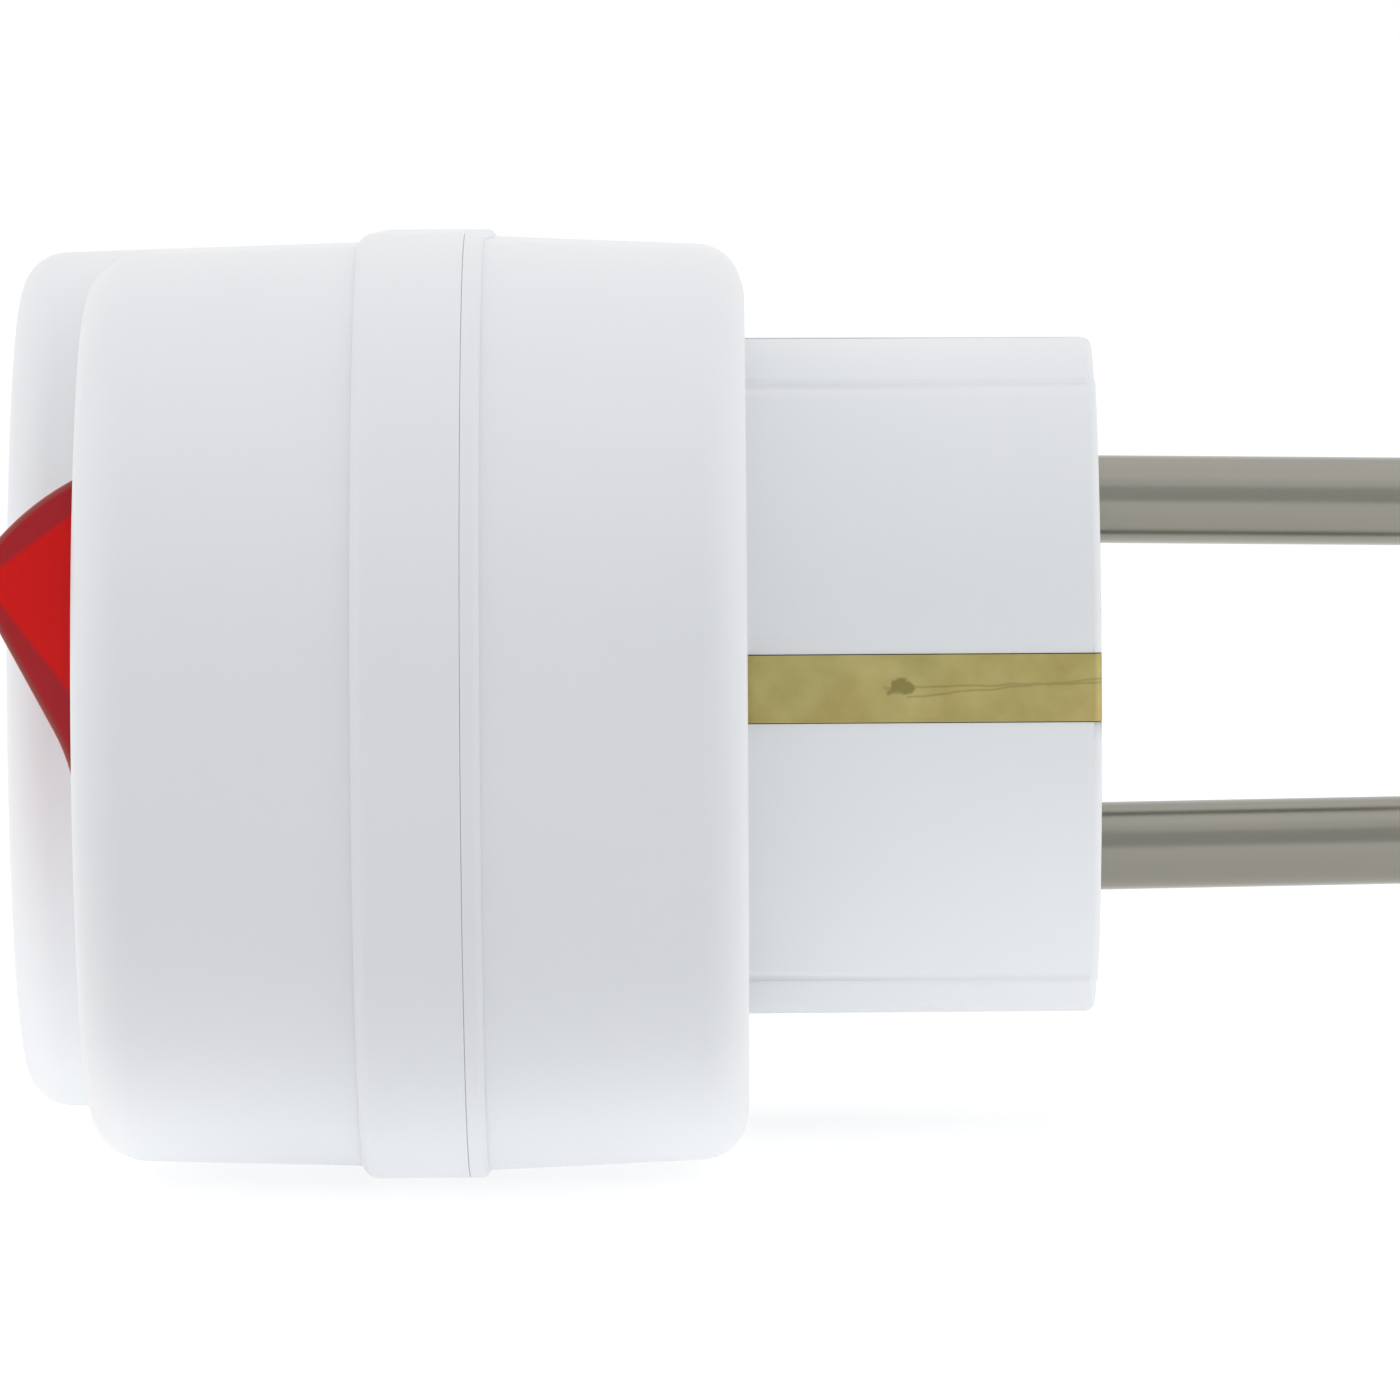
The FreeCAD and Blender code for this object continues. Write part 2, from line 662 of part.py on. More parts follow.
def contact_carrier():
    """The moulding behind the well that holds the two sleeves apart."""
    body = new_body("contact_carrier")
    plate = new_sketch(body, "YZ_Plane", CARRIER)
    add_circle(plate, ("0", "0"), "carrier_radius")
    raise_sketch(plate, "carrier_plate", back=True)
    for side in SIDES:
        tube = new_sketch(body, "YZ_Plane", CARRIER_TOP)
        add_circle(tube, ("0", f"{side}{PIN_Z}"), CARRIER_TUBE)
        raise_sketch(tube, f"{CARRIER_TOP} - {UNDER_WELL} - fit_gap", back=True)
    for side in SIDES:
        bore = new_sketch(body, "YZ_Plane", SLEEVE_SEAT)
        add_circle(bore, ("0", f"{side}{PIN_Z}"), CARRIER_BORE)
        raise_sketch(bore, f"{SLEEVE_SEAT} - {UNDER_WELL} + {PAST}", "Pocket")
        seat = new_sketch(body, "YZ_Plane", CARRIER)
        add_circle(seat, ("0", f"{side}{PIN_Z}"), "sleeve_seat_radius")
        raise_sketch(seat, "carrier_plate", "Pocket")
        bottom = f"{side}{PIN_Z} - strap_width / 2 - strap_gap"
        top = f"{side}{PIN_Z} + strap_width / 2 + strap_gap"
        window = new_sketch(body, "YZ_Plane", f"{LOAD_TOP} - strap_gap")
        add_box(window, (f"-{CARRIER_TUBE} - {PAST}", bottom), ("-sleeve_bore", top))
        raise_sketch(window, "strip_gauge + 2 * strap_gap", "Pocket", back=True)
        slot = new_sketch(body, "YZ_Plane", CARRIER)
        add_box(slot, (f"{RISER_NEAR} - strap_gap", bottom), (f"{RISER_FAR} + strap_gap", top))
        raise_sketch(slot, "carrier_plate", "Pocket")
    centre = new_sketch(body, "YZ_Plane", CARRIER)
    add_circle(centre, ("0", "0"), "post_radius + post_gap")
    raise_sketch(centre, "carrier_plate", "Pocket")
    return body


def plug_pin(label, side):
    """A turned plug pin: rounded tip, shank, flange behind the nose and riveted tail."""
    body = new_body(label)
    flange = f"({NOSE_IN} - fit_gap)"
    tail = f"({flange} - flange_width)"
    head = f"({tail} - strip_gauge - fit_gap)"
    end = f"({head} - strip_gauge)"
    outline = [
        (end, "0"),
        ("pin_reach", "0"),
        ("pin_reach", "pin_radius - pin_tip_radius"),
        ("pin_reach - pin_tip_radius", "pin_radius"),
        ("0", "pin_radius"),
        ("0", "pin_collar"),
        (flange, "pin_collar"),
        (flange, "flange_radius"),
        (tail, "flange_radius"),
        (tail, "tail_radius"),
        (head, "tail_radius"),
        (head, "tail_head_radius"),
        (end, "tail_head_radius"),
    ]
    sketch = new_sketch(body, "XZ_Plane")
    tip = ("pin_reach - pin_tip_radius", "pin_radius - pin_tip_radius")
    add_outline(sketch, outline, {2: (tip, 1)})
    turn_sketch(sketch, "H_Axis")
    put(body, "0", "0", f"{side}{PIN_Z}", f"{side or '+'}pin_toe_in")
    return body


def socket_sleeve(label, side):
    """A rolled sleeve, open along one side, that grips a pin of the plug put in."""
    body = new_body(label)
    ring = new_sketch(body, "YZ_Plane", SLEEVE_SEAT)
    add_circle(ring, ("0", f"{side}{PIN_Z}"), SLEEVE_OUT)
    add_circle(ring, ("0", f"{side}{PIN_Z}"), "sleeve_bore")
    raise_sketch(ring, f"{SLEEVE_SEAT} - {SLEEVE_TOP}", back=True)
    slot = new_sketch(body, "YZ_Plane", SLEEVE_SEAT)
    low = ("sleeve_bore / 2", f"{side}{PIN_Z} - sleeve_slot / 2")
    high = (f"{SLEEVE_OUT} + {PAST}", f"{side}{PIN_Z} + sleeve_slot / 2")
    add_box(slot, low, high)
    raise_sketch(slot, f"{SLEEVE_SEAT} - {SLEEVE_TOP}", "Pocket")
    return body


def earth_strip(label, side):
    """The strip beside the boss, hooked over the nose, with a foot on the back wall."""
    body = new_body(label)
    outer = f"{side}sector_radius"
    inner = f"{side}(sector_radius - strip_gauge)"
    hook = f"{side}(sector_radius - strip_hook)"
    foot = f"{side}(sector_radius - strip_foot)"
    sketch = new_sketch(body, "XY_Plane")
    corners = [
        ("0", outer),
        (STRIP_FOOT, outer),
        (STRIP_FOOT, foot),
        (BACK_IN, foot),
        (BACK_IN, inner),
        ("-strip_gauge", inner),
        ("-strip_gauge", hook),
        ("0", hook),
    ]
    add_outline(sketch, corners)
    raise_sketch(sketch, "strip_width", both=True)
    bend = value("sector_radius") - CLOSE
    ease_edges(
        body,
        lambda edge: in_plane(edge, 0) and abs(edge.BoundBox.Center.y) > bend,
        "nose_edge_radius",
    )
    return body


def earth_clip(label, side):
    """A springy clip beside the well that meets the earth strip of the plug put in."""
    body = new_body(label)
    back = "(well_radius + fit_gap)"
    bulge = "(well_radius - clip_bulge)"
    turn = f"({WELL} - clip_straight)"
    crest = f"({RIM} + clip_crest_depth)"
    tip = f"({RIM} + rib_stop + clip_lead_in)"
    reach_in = "(well_radius - clip_foot)"
    line = [(CLIP_FOOT, reach_in), (CLIP_FOOT, back), (turn, back), (crest, bulge), (tip, back)]
    over = [
        (tip, f"({back} + strip_gauge)"),
        (crest, f"({bulge} + strip_gauge)"),
        (turn, f"({back} + strip_gauge)"),
        (YOKE_TOP, f"({back} + strip_gauge)"),
        (YOKE_TOP, reach_in),
    ]
    sketch = new_sketch(body, "XY_Plane")
    add_outline(sketch, [(along, f"{side}{across}") for along, across in line + over])
    raise_sketch(sketch, "clip_width", both=True)
    ease_edges(body, lambda edge: in_plane(edge, value(crest)), "clip_bulge")
    return body


def earth_yoke():
    """The flat bar across the plug that joins the strips and the clips."""
    body = new_body("earth_yoke")
    bar = new_sketch(body, "YZ_Plane", STRIP_FOOT)
    low = ("-yoke_half_length", "-yoke_width / 2")
    add_box(bar, low, ("yoke_half_length", "yoke_width / 2"))
    raise_sketch(bar, "strip_gauge", back=True)
    widening = new_sketch(body, "YZ_Plane", STRIP_FOOT)
    add_circle(widening, ("0", "0"), "post_radius + yoke_eye_wall")
    raise_sketch(widening, "strip_gauge", back=True)
    hole = new_sketch(body, "YZ_Plane", STRIP_FOOT)
    add_circle(hole, ("0", "0"), "post_radius + post_gap")
    raise_sketch(hole, "strip_gauge", "Pocket")
    return body


def rivet_holes(body, start, sides, depth):
    """Pierce a flat earth part where a rivet goes through it, towards the nose."""
    for side in sides:
        hole = new_sketch(body, "YZ_Plane", start)
        add_circle(hole, (f"{side}rivet_place", "0"), "rivet_radius + fit_gap / 2")
        raise_sketch(hole, depth, "Pocket", back=True)


def earth_rivets():
    """The two rivets through strip, yoke and clip, one at each end of the yoke."""
    rivets = []
    for side in SIDES:
        turned = document.addObject("Part::Revolution", f"Rivet{len(rivets)}")
        profile = document.addObject("Sketcher::SketchObject", f"RivetProfile{len(rivets)}")
        top = f"({CLIP_FOOT} - rivet_head_height)"
        centre = f"{side}rivet_place"
        corners = [
            (top, centre),
            (BACK_IN, centre),
            (BACK_IN, f"{centre} + rivet_radius"),
            (CLIP_FOOT, f"{centre} + rivet_radius"),
            (CLIP_FOOT, f"{centre} + rivet_head_radius"),
            (top, f"{centre} + rivet_head_radius"),
        ]
        add_outline(profile, corners)
        turned.Source = profile
        turned.Axis = Vector(1, 0, 0)
        turned.setExpression("Base.y", sized(centre))
        turned.Angle = 360
        turned.Solid = True
        profile.Visibility = False
        rivets.append(turned)
    group = document.addObject("Part::Compound", "EarthRivets")
    group.Links = rivets
    group.Label = "earth_rivets"
    return group


def switch_housing():
    """The open box under the rocker: pivot holes, terminal slots, stops and lamp rib."""
    body = new_body("switch_housing")
    block = new_sketch(body, "YZ_Plane", HOUSING_BASE)
    low = (f"{SWITCH_NEAR} - housing_wall", f"-{HOUSING_END} - housing_wall")
    high = (f"{SWITCH_FAR} + housing_wall", f"{HOUSING_END} + housing_wall")
    add_box(block, low, high)
    raise_sketch(block, f"{HOUSING_BASE} - {HOUSING_TOP}", back=True)
    room = new_sketch(body, "YZ_Plane", HOUSING_TOP)
    add_box(room, (SWITCH_NEAR, f"-{HOUSING_END}"), (SWITCH_FAR, HOUSING_END))
    raise_sketch(room, f"{HOUSING_FLOOR} - {HOUSING_TOP}", "Pocket", back=True)

    stop_top = f"({LEVER} - {CONTACT_DROP} + 3 * fit_gap)"
    for pole in POLES.values():
        stop = new_sketch(body, "YZ_Plane", HOUSING_FLOOR)
        low = (f"{pole} - lever_width / 2", "contact_place - stop_width / 2")
        high = (f"{pole} + lever_width / 2", "contact_place + stop_width / 2")
        add_box(stop, low, high)
        raise_sketch(stop, f"{HOUSING_FLOOR} - {stop_top}", back=True)
    rib = new_sketch(body, "YZ_Plane", HOUSING_FLOOR)
    rib_end = "(lamp_length / 2 - lamp_rib_inset)"
    low = ("-rocker_centre - lamp_rib_wall / 2", f"-{rib_end}")
    add_box(rib, low, ("-rocker_centre + lamp_rib_wall / 2", rib_end))
    raise_sketch(rib, f"{HOUSING_FLOOR} - {LAMP}", back=True)
    cradle = new_sketch(body, "XY_Plane")
    add_circle(cradle, (LAMP, "-rocker_centre"), "lamp_radius + fit_gap / 2")
    raise_sketch(cradle, "lamp_length", "Pocket", both=True)

    slots = [("0", "terminal_width"), (f"({LOAD_Z} + strip_gauge / 2)", "lever_width")]
    gap = "terminal_slot_gap"
    for pole in POLES.values():
        for middle, width in slots:
            slot = new_sketch(body, "YZ_Plane", HOUSING_FLOOR)
            low = (f"{pole} - {width} / 2 - {gap}", f"{middle} - strip_gauge / 2 - {gap}")
            high = (f"{pole} + {width} / 2 + {gap}", f"{middle} + strip_gauge / 2 + {gap}")
            add_box(slot, low, high)
            raise_sketch(slot, "housing_floor", "Pocket", back=True)
    pivot = new_sketch(body, "XZ_Plane", f"-{SWITCH_NEAR} + housing_wall")
    add_circle(pivot, (PIVOT, "0"), "trunnion_radius + trunnion_gap")
    raise_sketch(pivot, f"2 * {SWITCH_HALF} + 2 * housing_wall", "Pocket")
    return body


def rocker():
    """The hollow rocker with its two trunnions and two plunger guides, about its pivot."""
    body = new_body("rocker")
    outer = rocker_outline("rocker_radius", "rocker_valley", "rocker_dish_radius")
    profile = new_sketch(body, "XZ_Plane")
    add_outline(profile, *outer)
    raise_sketch(profile, "rocker_width", both=True)
    skin = value("rocker_width") / 2
    ease_edges(body, lambda edge: is_finger_edge(edge, skin), "rocker_edge_radius")
    inside = rocker_outline(
        "(rocker_radius - rocker_wall)",
        "(rocker_valley - rocker_wall)",
        "(rocker_dish_radius + rocker_wall)",
    )
    hollow = new_sketch(body, "XZ_Plane")
    add_outline(hollow, *inside)
    raise_sketch(hollow, "rocker_width - 2 * rocker_wall", "Pocket", both=True)
    trunnion = new_sketch(body, "XZ_Plane", "rocker_width / 2 - rocker_wall / 2")
    add_circle(trunnion, ("0", "0"), "trunnion_radius")
    raise_sketch(trunnion, "rocker_wall / 2 + rocker_gap + housing_wall - fit_gap")
    trunnion = new_sketch(body, "XZ_Plane", "-rocker_width / 2 + rocker_wall / 2")
    add_circle(trunnion, ("0", "0"), "trunnion_radius")
    raise_sketch(trunnion, "rocker_wall / 2 + rocker_gap + housing_wall - fit_gap", back=True)

    bottom = "(rocker_valley - rocker_wall)"
    for side in SIDES:
        guide = new_sketch(body, "YZ_Plane", "guide_length")
        add_circle(guide, (f"{side}pole_spacing / 2", "0"), "guide_bore + guide_wall")
        raise_sketch(guide, f"guide_length + {bottom} + rocker_wall / 2", back=True)
    for side in SIDES:
        bore = new_sketch(body, "YZ_Plane", "guide_length")
        add_circle(bore, (f"{side}pole_spacing / 2", "0"), "guide_bore")
        raise_sketch(bore, f"guide_length + {bottom}", "Pocket")
    put(body, PIVOT, "-rocker_centre", "0", "-rocker_tilt")
    return body


def rocker_outline(radius, valley, dish):
    """Return the rocker's section: a shallow V with a round valley, and two round ends."""
    skirt_z = f"sqrt({radius} * {radius} - rocker_skirt * rocker_skirt)"
    tip_x = f"(-{radius} * cos(rocker_tip_angle))"
    tip_z = f"({radius} * sin(rocker_tip_angle))"
    slope = f"atan(({radius} * cos(rocker_tip_angle) - {valley}) / {tip_z})"
    centre_x = f"(-{valley} - {dish} / cos({slope}))"
    dish_x = f"({centre_x} + {dish} * cos({slope}))"
    dish_z = f"({dish} * sin({slope}))"
    corners = [
        (dish_x, f"-{dish_z}"),
        (tip_x, f"-{tip_z}"),
        ("rocker_skirt", f"-{skirt_z}"),
        ("rocker_skirt", skirt_z),
        (tip_x, tip_z),
        (dish_x, dish_z),
    ]
    return corners, {1: (("0", "0"), 1), 3: (("0", "0"), 1), 5: ((centre_x, "0"), -1)}


def is_finger_edge(edge, skin):
    """Say whether an edge of the rocker is one that a finger meets."""
    box = edge.BoundBox
    if box.XMin > 0 or box.XMax > value("rocker_skirt") + CLOSE:
        return False
    if box.XMax > value("rocker_skirt") - CLOSE:
        return box.YMax - box.YMin < CLOSE and box.XMin < 0
    crosswise = box.YMax - box.YMin > skin
    valley = crosswise and abs(box.Center.z) < value("rocker_radius") / 2
    return not valley


def plunger(label, pole):
    """A brass plunger with a round tip, drawn about the rocker's pivot."""
    body = new_body(label)
    tip = "(plunger_tip - plunger_radius)"
    top = "(plunger_tip - plunger_length)"
    sketch = new_sketch(body, "XZ_Plane")
    corners = [
        (top, "0"),
        ("plunger_tip", "0"),
        (tip, "plunger_radius"),
        (f"{top} + plunger_chamfer", "plunger_radius"),
        (top, "plunger_radius - plunger_chamfer"),
    ]
    add_outline(sketch, corners, {1: ((tip, "0"), 1)})
    turn_sketch(sketch, "H_Axis")
    put(body, PIVOT, pole, "0", "-rocker_tilt")
    return body


def plunger_spring(label, pole):
    """The spring above a plunger: one unbroken round wire, wound by a formula."""
    top = value("rocker_wall + spring_wire + fit_gap - rocker_valley")
    bottom = value("plunger_tip - plunger_length - spring_wire - fit_gap")
    wire = value("spring_wire")
    pitch = (bottom - top) / value("spring_turns")
    helix = Part.makeHelix(pitch, bottom - top, value("spring_radius"))
    start = helix.Edges[0]
    across = start.tangentAt(start.FirstParameter)
    ring = Part.makeCircle(wire, start.valueAt(start.FirstParameter), across)
    coil = Part.Wire(helix.Edges).makePipeShell([Part.Wire([ring])], True, True)
    print(f"{label}: least gap between curls {pitch - 2 * wire:.2f} mm")
    spring = document.addObject("Part::Feature", label.title().replace("_", ""))
    spring.Label = label
    spring.Shape = coil
    tilt = Rotation(Vector(0, 1, 0), -value("rocker_tilt"))
    pivot = Placement(Vector(value(PIVOT), value(pole), 0), tilt)
    lay_down = Placement(Vector(top, 0, 0), Rotation(Vector(0, 1, 0), 90))
    spring.Placement = pivot.multiply(lay_down)
    return spring


def contact_lever(label, pole):
    """The rocking contact: a strip with a shallow V, drawn about its lowest line."""
    body = new_body(label)
    rise = "(lever_arm * tan(lever_bend))"
    thick = "(lever_gauge / cos(lever_bend))"
    sketch = new_sketch(body, "XZ_Plane")
    corners = [
        ("0", "0"),
        (f"-{rise}", "lever_arm"),
        (f"-{rise} - {thick}", "lever_arm"),
        (f"-{thick}", "0"),
        (f"-{rise} - {thick}", "-lever_arm"),
        (f"-{rise}", "-lever_arm"),
    ]
    add_outline(sketch, corners)
    raise_sketch(sketch, "lever_width", both=True)
    for side in SIDES:
        notch = new_sketch(body, "YZ_Plane", PAST)
        low = (f"{side}waist_width / 2", "-waist_length / 2")
        add_box(notch, low, (f"{side}(lever_width / 2 + {PAST})", "waist_length / 2"))
        raise_sketch(notch, "lever_arm / 2", "Pocket")
    button = body.newObject("PartDesign::AdditiveCylinder", f"{body.Name}Button")
    button.setExpression("Radius", sized("contact_radius"))
    button.setExpression("Height", sized("contact_height + lever_gauge / 2"))
    button.Placement = Placement(Vector(0, 0, 0), Rotation(Vector(0, 1, 0), 90))
    along = "-contact_place * tan(lever_bend) - lever_gauge / 2 * cos(lever_bend)"
    up = "-contact_place + lever_gauge / 2 * sin(lever_bend)"
    button.setExpression("Placement.Base.x", sized(along))
    button.setExpression("Placement.Base.z", sized(up))
    button.setExpression("Placement.Rotation.Angle", sized("90 + lever_bend"))
    document.recompute()
    put(body, LEVER, pole, "0", "lever_swing")
    return body


def pivot_terminal(label, pole):
    """The upright strip that a contact lever rocks on, with two ears at its waist."""
    body = new_body(label)
    edge = f"({LEVER} + knife_gap)"
    half = "terminal_width / 2"
    sketch = new_sketch(body, "XY_Plane")
    corners = [
        (f"{edge} - ear_height", f"{pole} - {half}"),
        (LINE_TOP, f"{pole} - {half}"),
        (LINE_TOP, f"{pole} + {half}"),
        (f"{edge} - ear_height", f"{pole} + {half}"),
        (f"{edge} - ear_height", f"{pole} + {half} - ear_width"),
        (edge, f"{pole} + {half} - ear_width"),
        (edge, f"{pole} - {half} + ear_width"),
        (f"{edge} - ear_height", f"{pole} - {half} + ear_width"),
    ]
    add_outline(sketch, corners)
    raise_sketch(sketch, "strip_gauge", both=True)
    return body


def load_terminal(label, pole):
    """The bent strip with the fixed contact under the lever's live end."""
    body = new_body(label)
    sketch = new_sketch(body, "XZ_Plane", f"-{pole} - lever_width / 2")
    far = "(-contact_place + contact_radius + terminal_lip)"
    corners = [
        (TONGUE, LOAD_Z),
        (LOAD_TOP, LOAD_Z),
        (LOAD_TOP, f"{LOAD_Z} + strip_gauge"),
        (f"{TONGUE} + strip_gauge", f"{LOAD_Z} + strip_gauge"),
        (f"{TONGUE} + strip_gauge", far),
        (TONGUE, far),
    ]
    add_outline(sketch, corners)
    raise_sketch(sketch, "lever_width")
    button = new_sketch(body, "YZ_Plane", TONGUE)
    add_circle(button, (pole, "-contact_place"), "contact_radius")
    raise_sketch(button, "contact_height", back=True)
    return body


def line_strap(label, side, pole, corner):
    """The strap from a plug pin's tail, up past the carrier, to a pivot terminal."""
    body = new_body(label)
    centre = f"{side}{PIN_Z}"
    half = "strap_width / 2"
    seat = f"({NOSE_IN} - fit_gap * 1.5 - flange_width)"
    foot = new_sketch(body, "YZ_Plane", seat)
    low = (RISER_NEAR, f"{centre} - {half}")
    add_box(foot, low, ("tail_head_radius", f"{centre} + {half}"))
    raise_sketch(foot, "strip_gauge", back=True)
    hole = new_sketch(body, "YZ_Plane", seat)
    add_circle(hole, ("0", centre), "tail_radius + fit_gap")
    raise_sketch(hole, "strip_gauge", "Pocket")
    riser = new_sketch(body, "YZ_Plane", seat)
    add_box(riser, low, (RISER_FAR, f"{centre} + {half}"))
    raise_sketch(riser, f"{seat} - {LINE_TOP}", back=True)
    inner = f"{side}({PIN_Z} - {half})"
    outer = f"{side}({PIN_Z} + {half})"
    run = new_sketch(body, "YZ_Plane", LINE_BASE)
    corners = [
        (RISER_FAR, inner),
        (RISER_FAR, outer),
        (f"{corner} - {half}", outer),
        (f"{pole} - {half}", f"{side}{half}"),
        (f"{pole} - {half}", f"{OTHER_SIDE[side]}{half}"),
        (f"{pole} + {half}", f"{OTHER_SIDE[side]}{half}"),
        (f"{corner} + {half}", inner),
    ]
    add_outline(run, corners)
    raise_sketch(run, "strip_gauge", back=True)
    return body


def load_strap(label, corners):
    """The strap from a sleeve to a load terminal, flat under the switch housing."""
    body = new_body(label)
    run = new_sketch(body, "YZ_Plane", LOAD_BASE)
    add_outline(run, corners)
    raise_sketch(run, "strip_gauge", back=True)
    return body


def neon_lamp():
    """The small glass lamp that lies in the housing's cradle."""
    body = new_body("neon_lamp")
    sketch = new_sketch(body, "XZ_Plane")
    half = "(lamp_length / 2)"
    shoulder = f"({half} - lamp_end_radius)"
    flat = "(lamp_radius - lamp_end_radius)"
    corners = [
        ("0", f"-{half}"),
        (flat, f"-{half}"),
        ("lamp_radius", f"-{shoulder}"),
        ("lamp_radius", shoulder),
        (flat, half),
        ("0", half),
    ]
    add_outline(sketch, corners, {1: ((flat, f"-{shoulder}"), 1), 3: ((flat, shoulder), 1)})
    turn_sketch(sketch, "V_Axis")
    put(body, LAMP, "-rocker_centre", "0")
    return body


def lamp_resistor():
    """The lamp's series resistor, upright beside it on one lead."""
    body = new_body("lamp_resistor")
    sketch = new_sketch(body, "YZ_Plane", RESISTOR_END)
    add_circle(sketch, ("-rocker_centre", LEAD_Z), "resistor_radius")
    raise_sketch(sketch, "resistor_length")
    edge = value("resistor_length")
    ease_edges(body, lambda item: item.Length > edge and item.Closed, "resistor_edge")
    return body


def bent_wire(points, radius, bend):
    """Return a round wire along straight runs joined by arcs of one bend radius."""
    edges = []
    here = points[0]
    for middle, beyond in zip(points[1:-1], points[2:]):
        before = (middle - here).normalize()
        after = (beyond - middle).normalize()
        half = before.getAngle(after) / 2
        trim = bend * math.tan(half)
        start = middle - before * trim
        end = middle + after * trim
        inward = (after - before).normalize()
        crown = middle + inward * (bend / math.cos(half) - bend)
        edges.append(Part.makeLine(here, start))
        edges.append(Part.Arc(start, crown, end).toShape())
        here = end
    edges.append(Part.makeLine(here, points[-1]))
    path = Part.Wire(edges)
    ring = Part.Wire([Part.makeCircle(radius, points[0], points[1] - points[0])])
    return path.makePipeShell([ring], True, False)


def lamp_leads():
    """The lamp's two leads, one to each load terminal, the far one by the resistor."""
    middle = -value("rocker_centre")
    level = value(LAMP)
    end = value("lamp_length") / 2
    floor = value(HOUSING_FLOOR) - 2 * value("lead_radius")
    side = value(LEAD_Z)
    load = value(LOAD_Z) + value("strip_gauge") / 2
    radius = value("lead_radius")
    bend = value("lead_bend")
    near = [
        Vector(level, middle, -end),
        Vector(level, middle, -side),
        Vector(floor, middle, -side),
        Vector(floor, middle, load),
    ]
    upper = [
        Vector(level, middle, end),
        Vector(level, middle, side),
        Vector(value(RESISTOR_END), middle, side),
    ]
    solids = [bent_wire(near, radius, bend), bent_wire(upper, radius, bend)]
    leads = document.addObject("Part::Feature", "LampLeads")
    leads.Label = "lamp_leads"
    leads.Shape = Part.makeCompound(solids)
    return leads


def screw(label, seat, across, length):
    """A pan screw with a cross slot, driven from the plug side."""
    body = new_body(label)
    shank = new_sketch(body, "YZ_Plane", seat)
    add_circle(shank, (across, "0"), "screw_radius")
    raise_sketch(shank, length, back=True)
    head = new_sketch(body, "YZ_Plane", seat)
    add_circle(head, (across, "0"), "screw_head_radius")
    raise_sketch(head, "screw_head_height")
    top = value(f"{seat} + screw_head_height")
    ease_edges(body, lambda edge: in_plane(edge, top), "screw_head_edge")
    for wide, tall in (("cross_length", "cross_width"), ("cross_width", "cross_length")):
        slot = new_sketch(body, "YZ_Plane", f"{seat} + screw_head_height")
        low = (f"{across} - {wide} / 2", f"-{tall} / 2")
        add_box(slot, low, (f"{across} + {wide} / 2", f"{tall} / 2"))
        raise_sketch(slot, "screw_head_height / 2", "Pocket")
    return body


def write_parts(pieces):
    """Check every object of the document, then write each piece to its own file."""
    document.recompute()
    for item in document.Objects:
        if "Invalid" in item.State or "Error" in item.State:
            raise ValueError(f"{item.Name} failed: {item.State}")
    os.makedirs("parts", exist_ok=True)
    for piece in pieces:
        shape = piece.Shape
        if shape.isNull() or not shape.isValid() or not shape.Solids:
            raise ValueError(f"{piece.Label} has no valid solid")
        shape.exportStep(f"parts/{piece.Label}.step")
        print(f"{piece.Label}: {len(shape.Solids)} solid, {shape.Volume:.1f} mm3")


def load_strap_corners():
    """Return the outlines of the two load straps, keyed by the pole that they feed."""
    half = "strap_width / 2"
    start = f"(-{SLEEVE_OUT} - fit_gap)"
    clear = "(-well_radius - strip_gauge - lane_start)"
    end = f"({LOAD_Z} - terminal_lip)"
    far = [
        (start, f"-{PIN_Z} + {half}"),
        (f"{FAR_POLE} - lever_width / 2", f"-{PIN_Z} + {half}"),
        (f"{FAR_POLE} - lever_width / 2", f"-{PIN_Z} - {half}"),
        (start, f"-{PIN_Z} - {half}"),
    ]
    lane = "(-contact_place / 2 + lane_offset)"
    bend = f"({FAR_POLE} + terminal_width / 2 + terminal_lip)"
    near = [
        (start, f"{PIN_Z} - {half}"),
        (start, f"{PIN_Z} + {half}"),
        (f"{clear} - lane_width * 3 / 4", f"{PIN_Z} + {half}"),
        (f"{bend} - lane_width / 2", f"{lane} + lane_width / 2"),
        (f"{NEAR_POLE} - lever_width / 2", f"{lane} + lane_width / 2"),
        (f"{NEAR_POLE} - lever_width / 2", end),
        (f"{NEAR_POLE} + lever_width / 2", end),
        (f"{NEAR_POLE} + lever_width / 2", f"{lane} - lane_width / 2"),
        (bend, f"{lane} - lane_width / 2"),
        (clear, f"{PIN_Z} - {half}"),
    ]
    return {"near": near, "far": far}


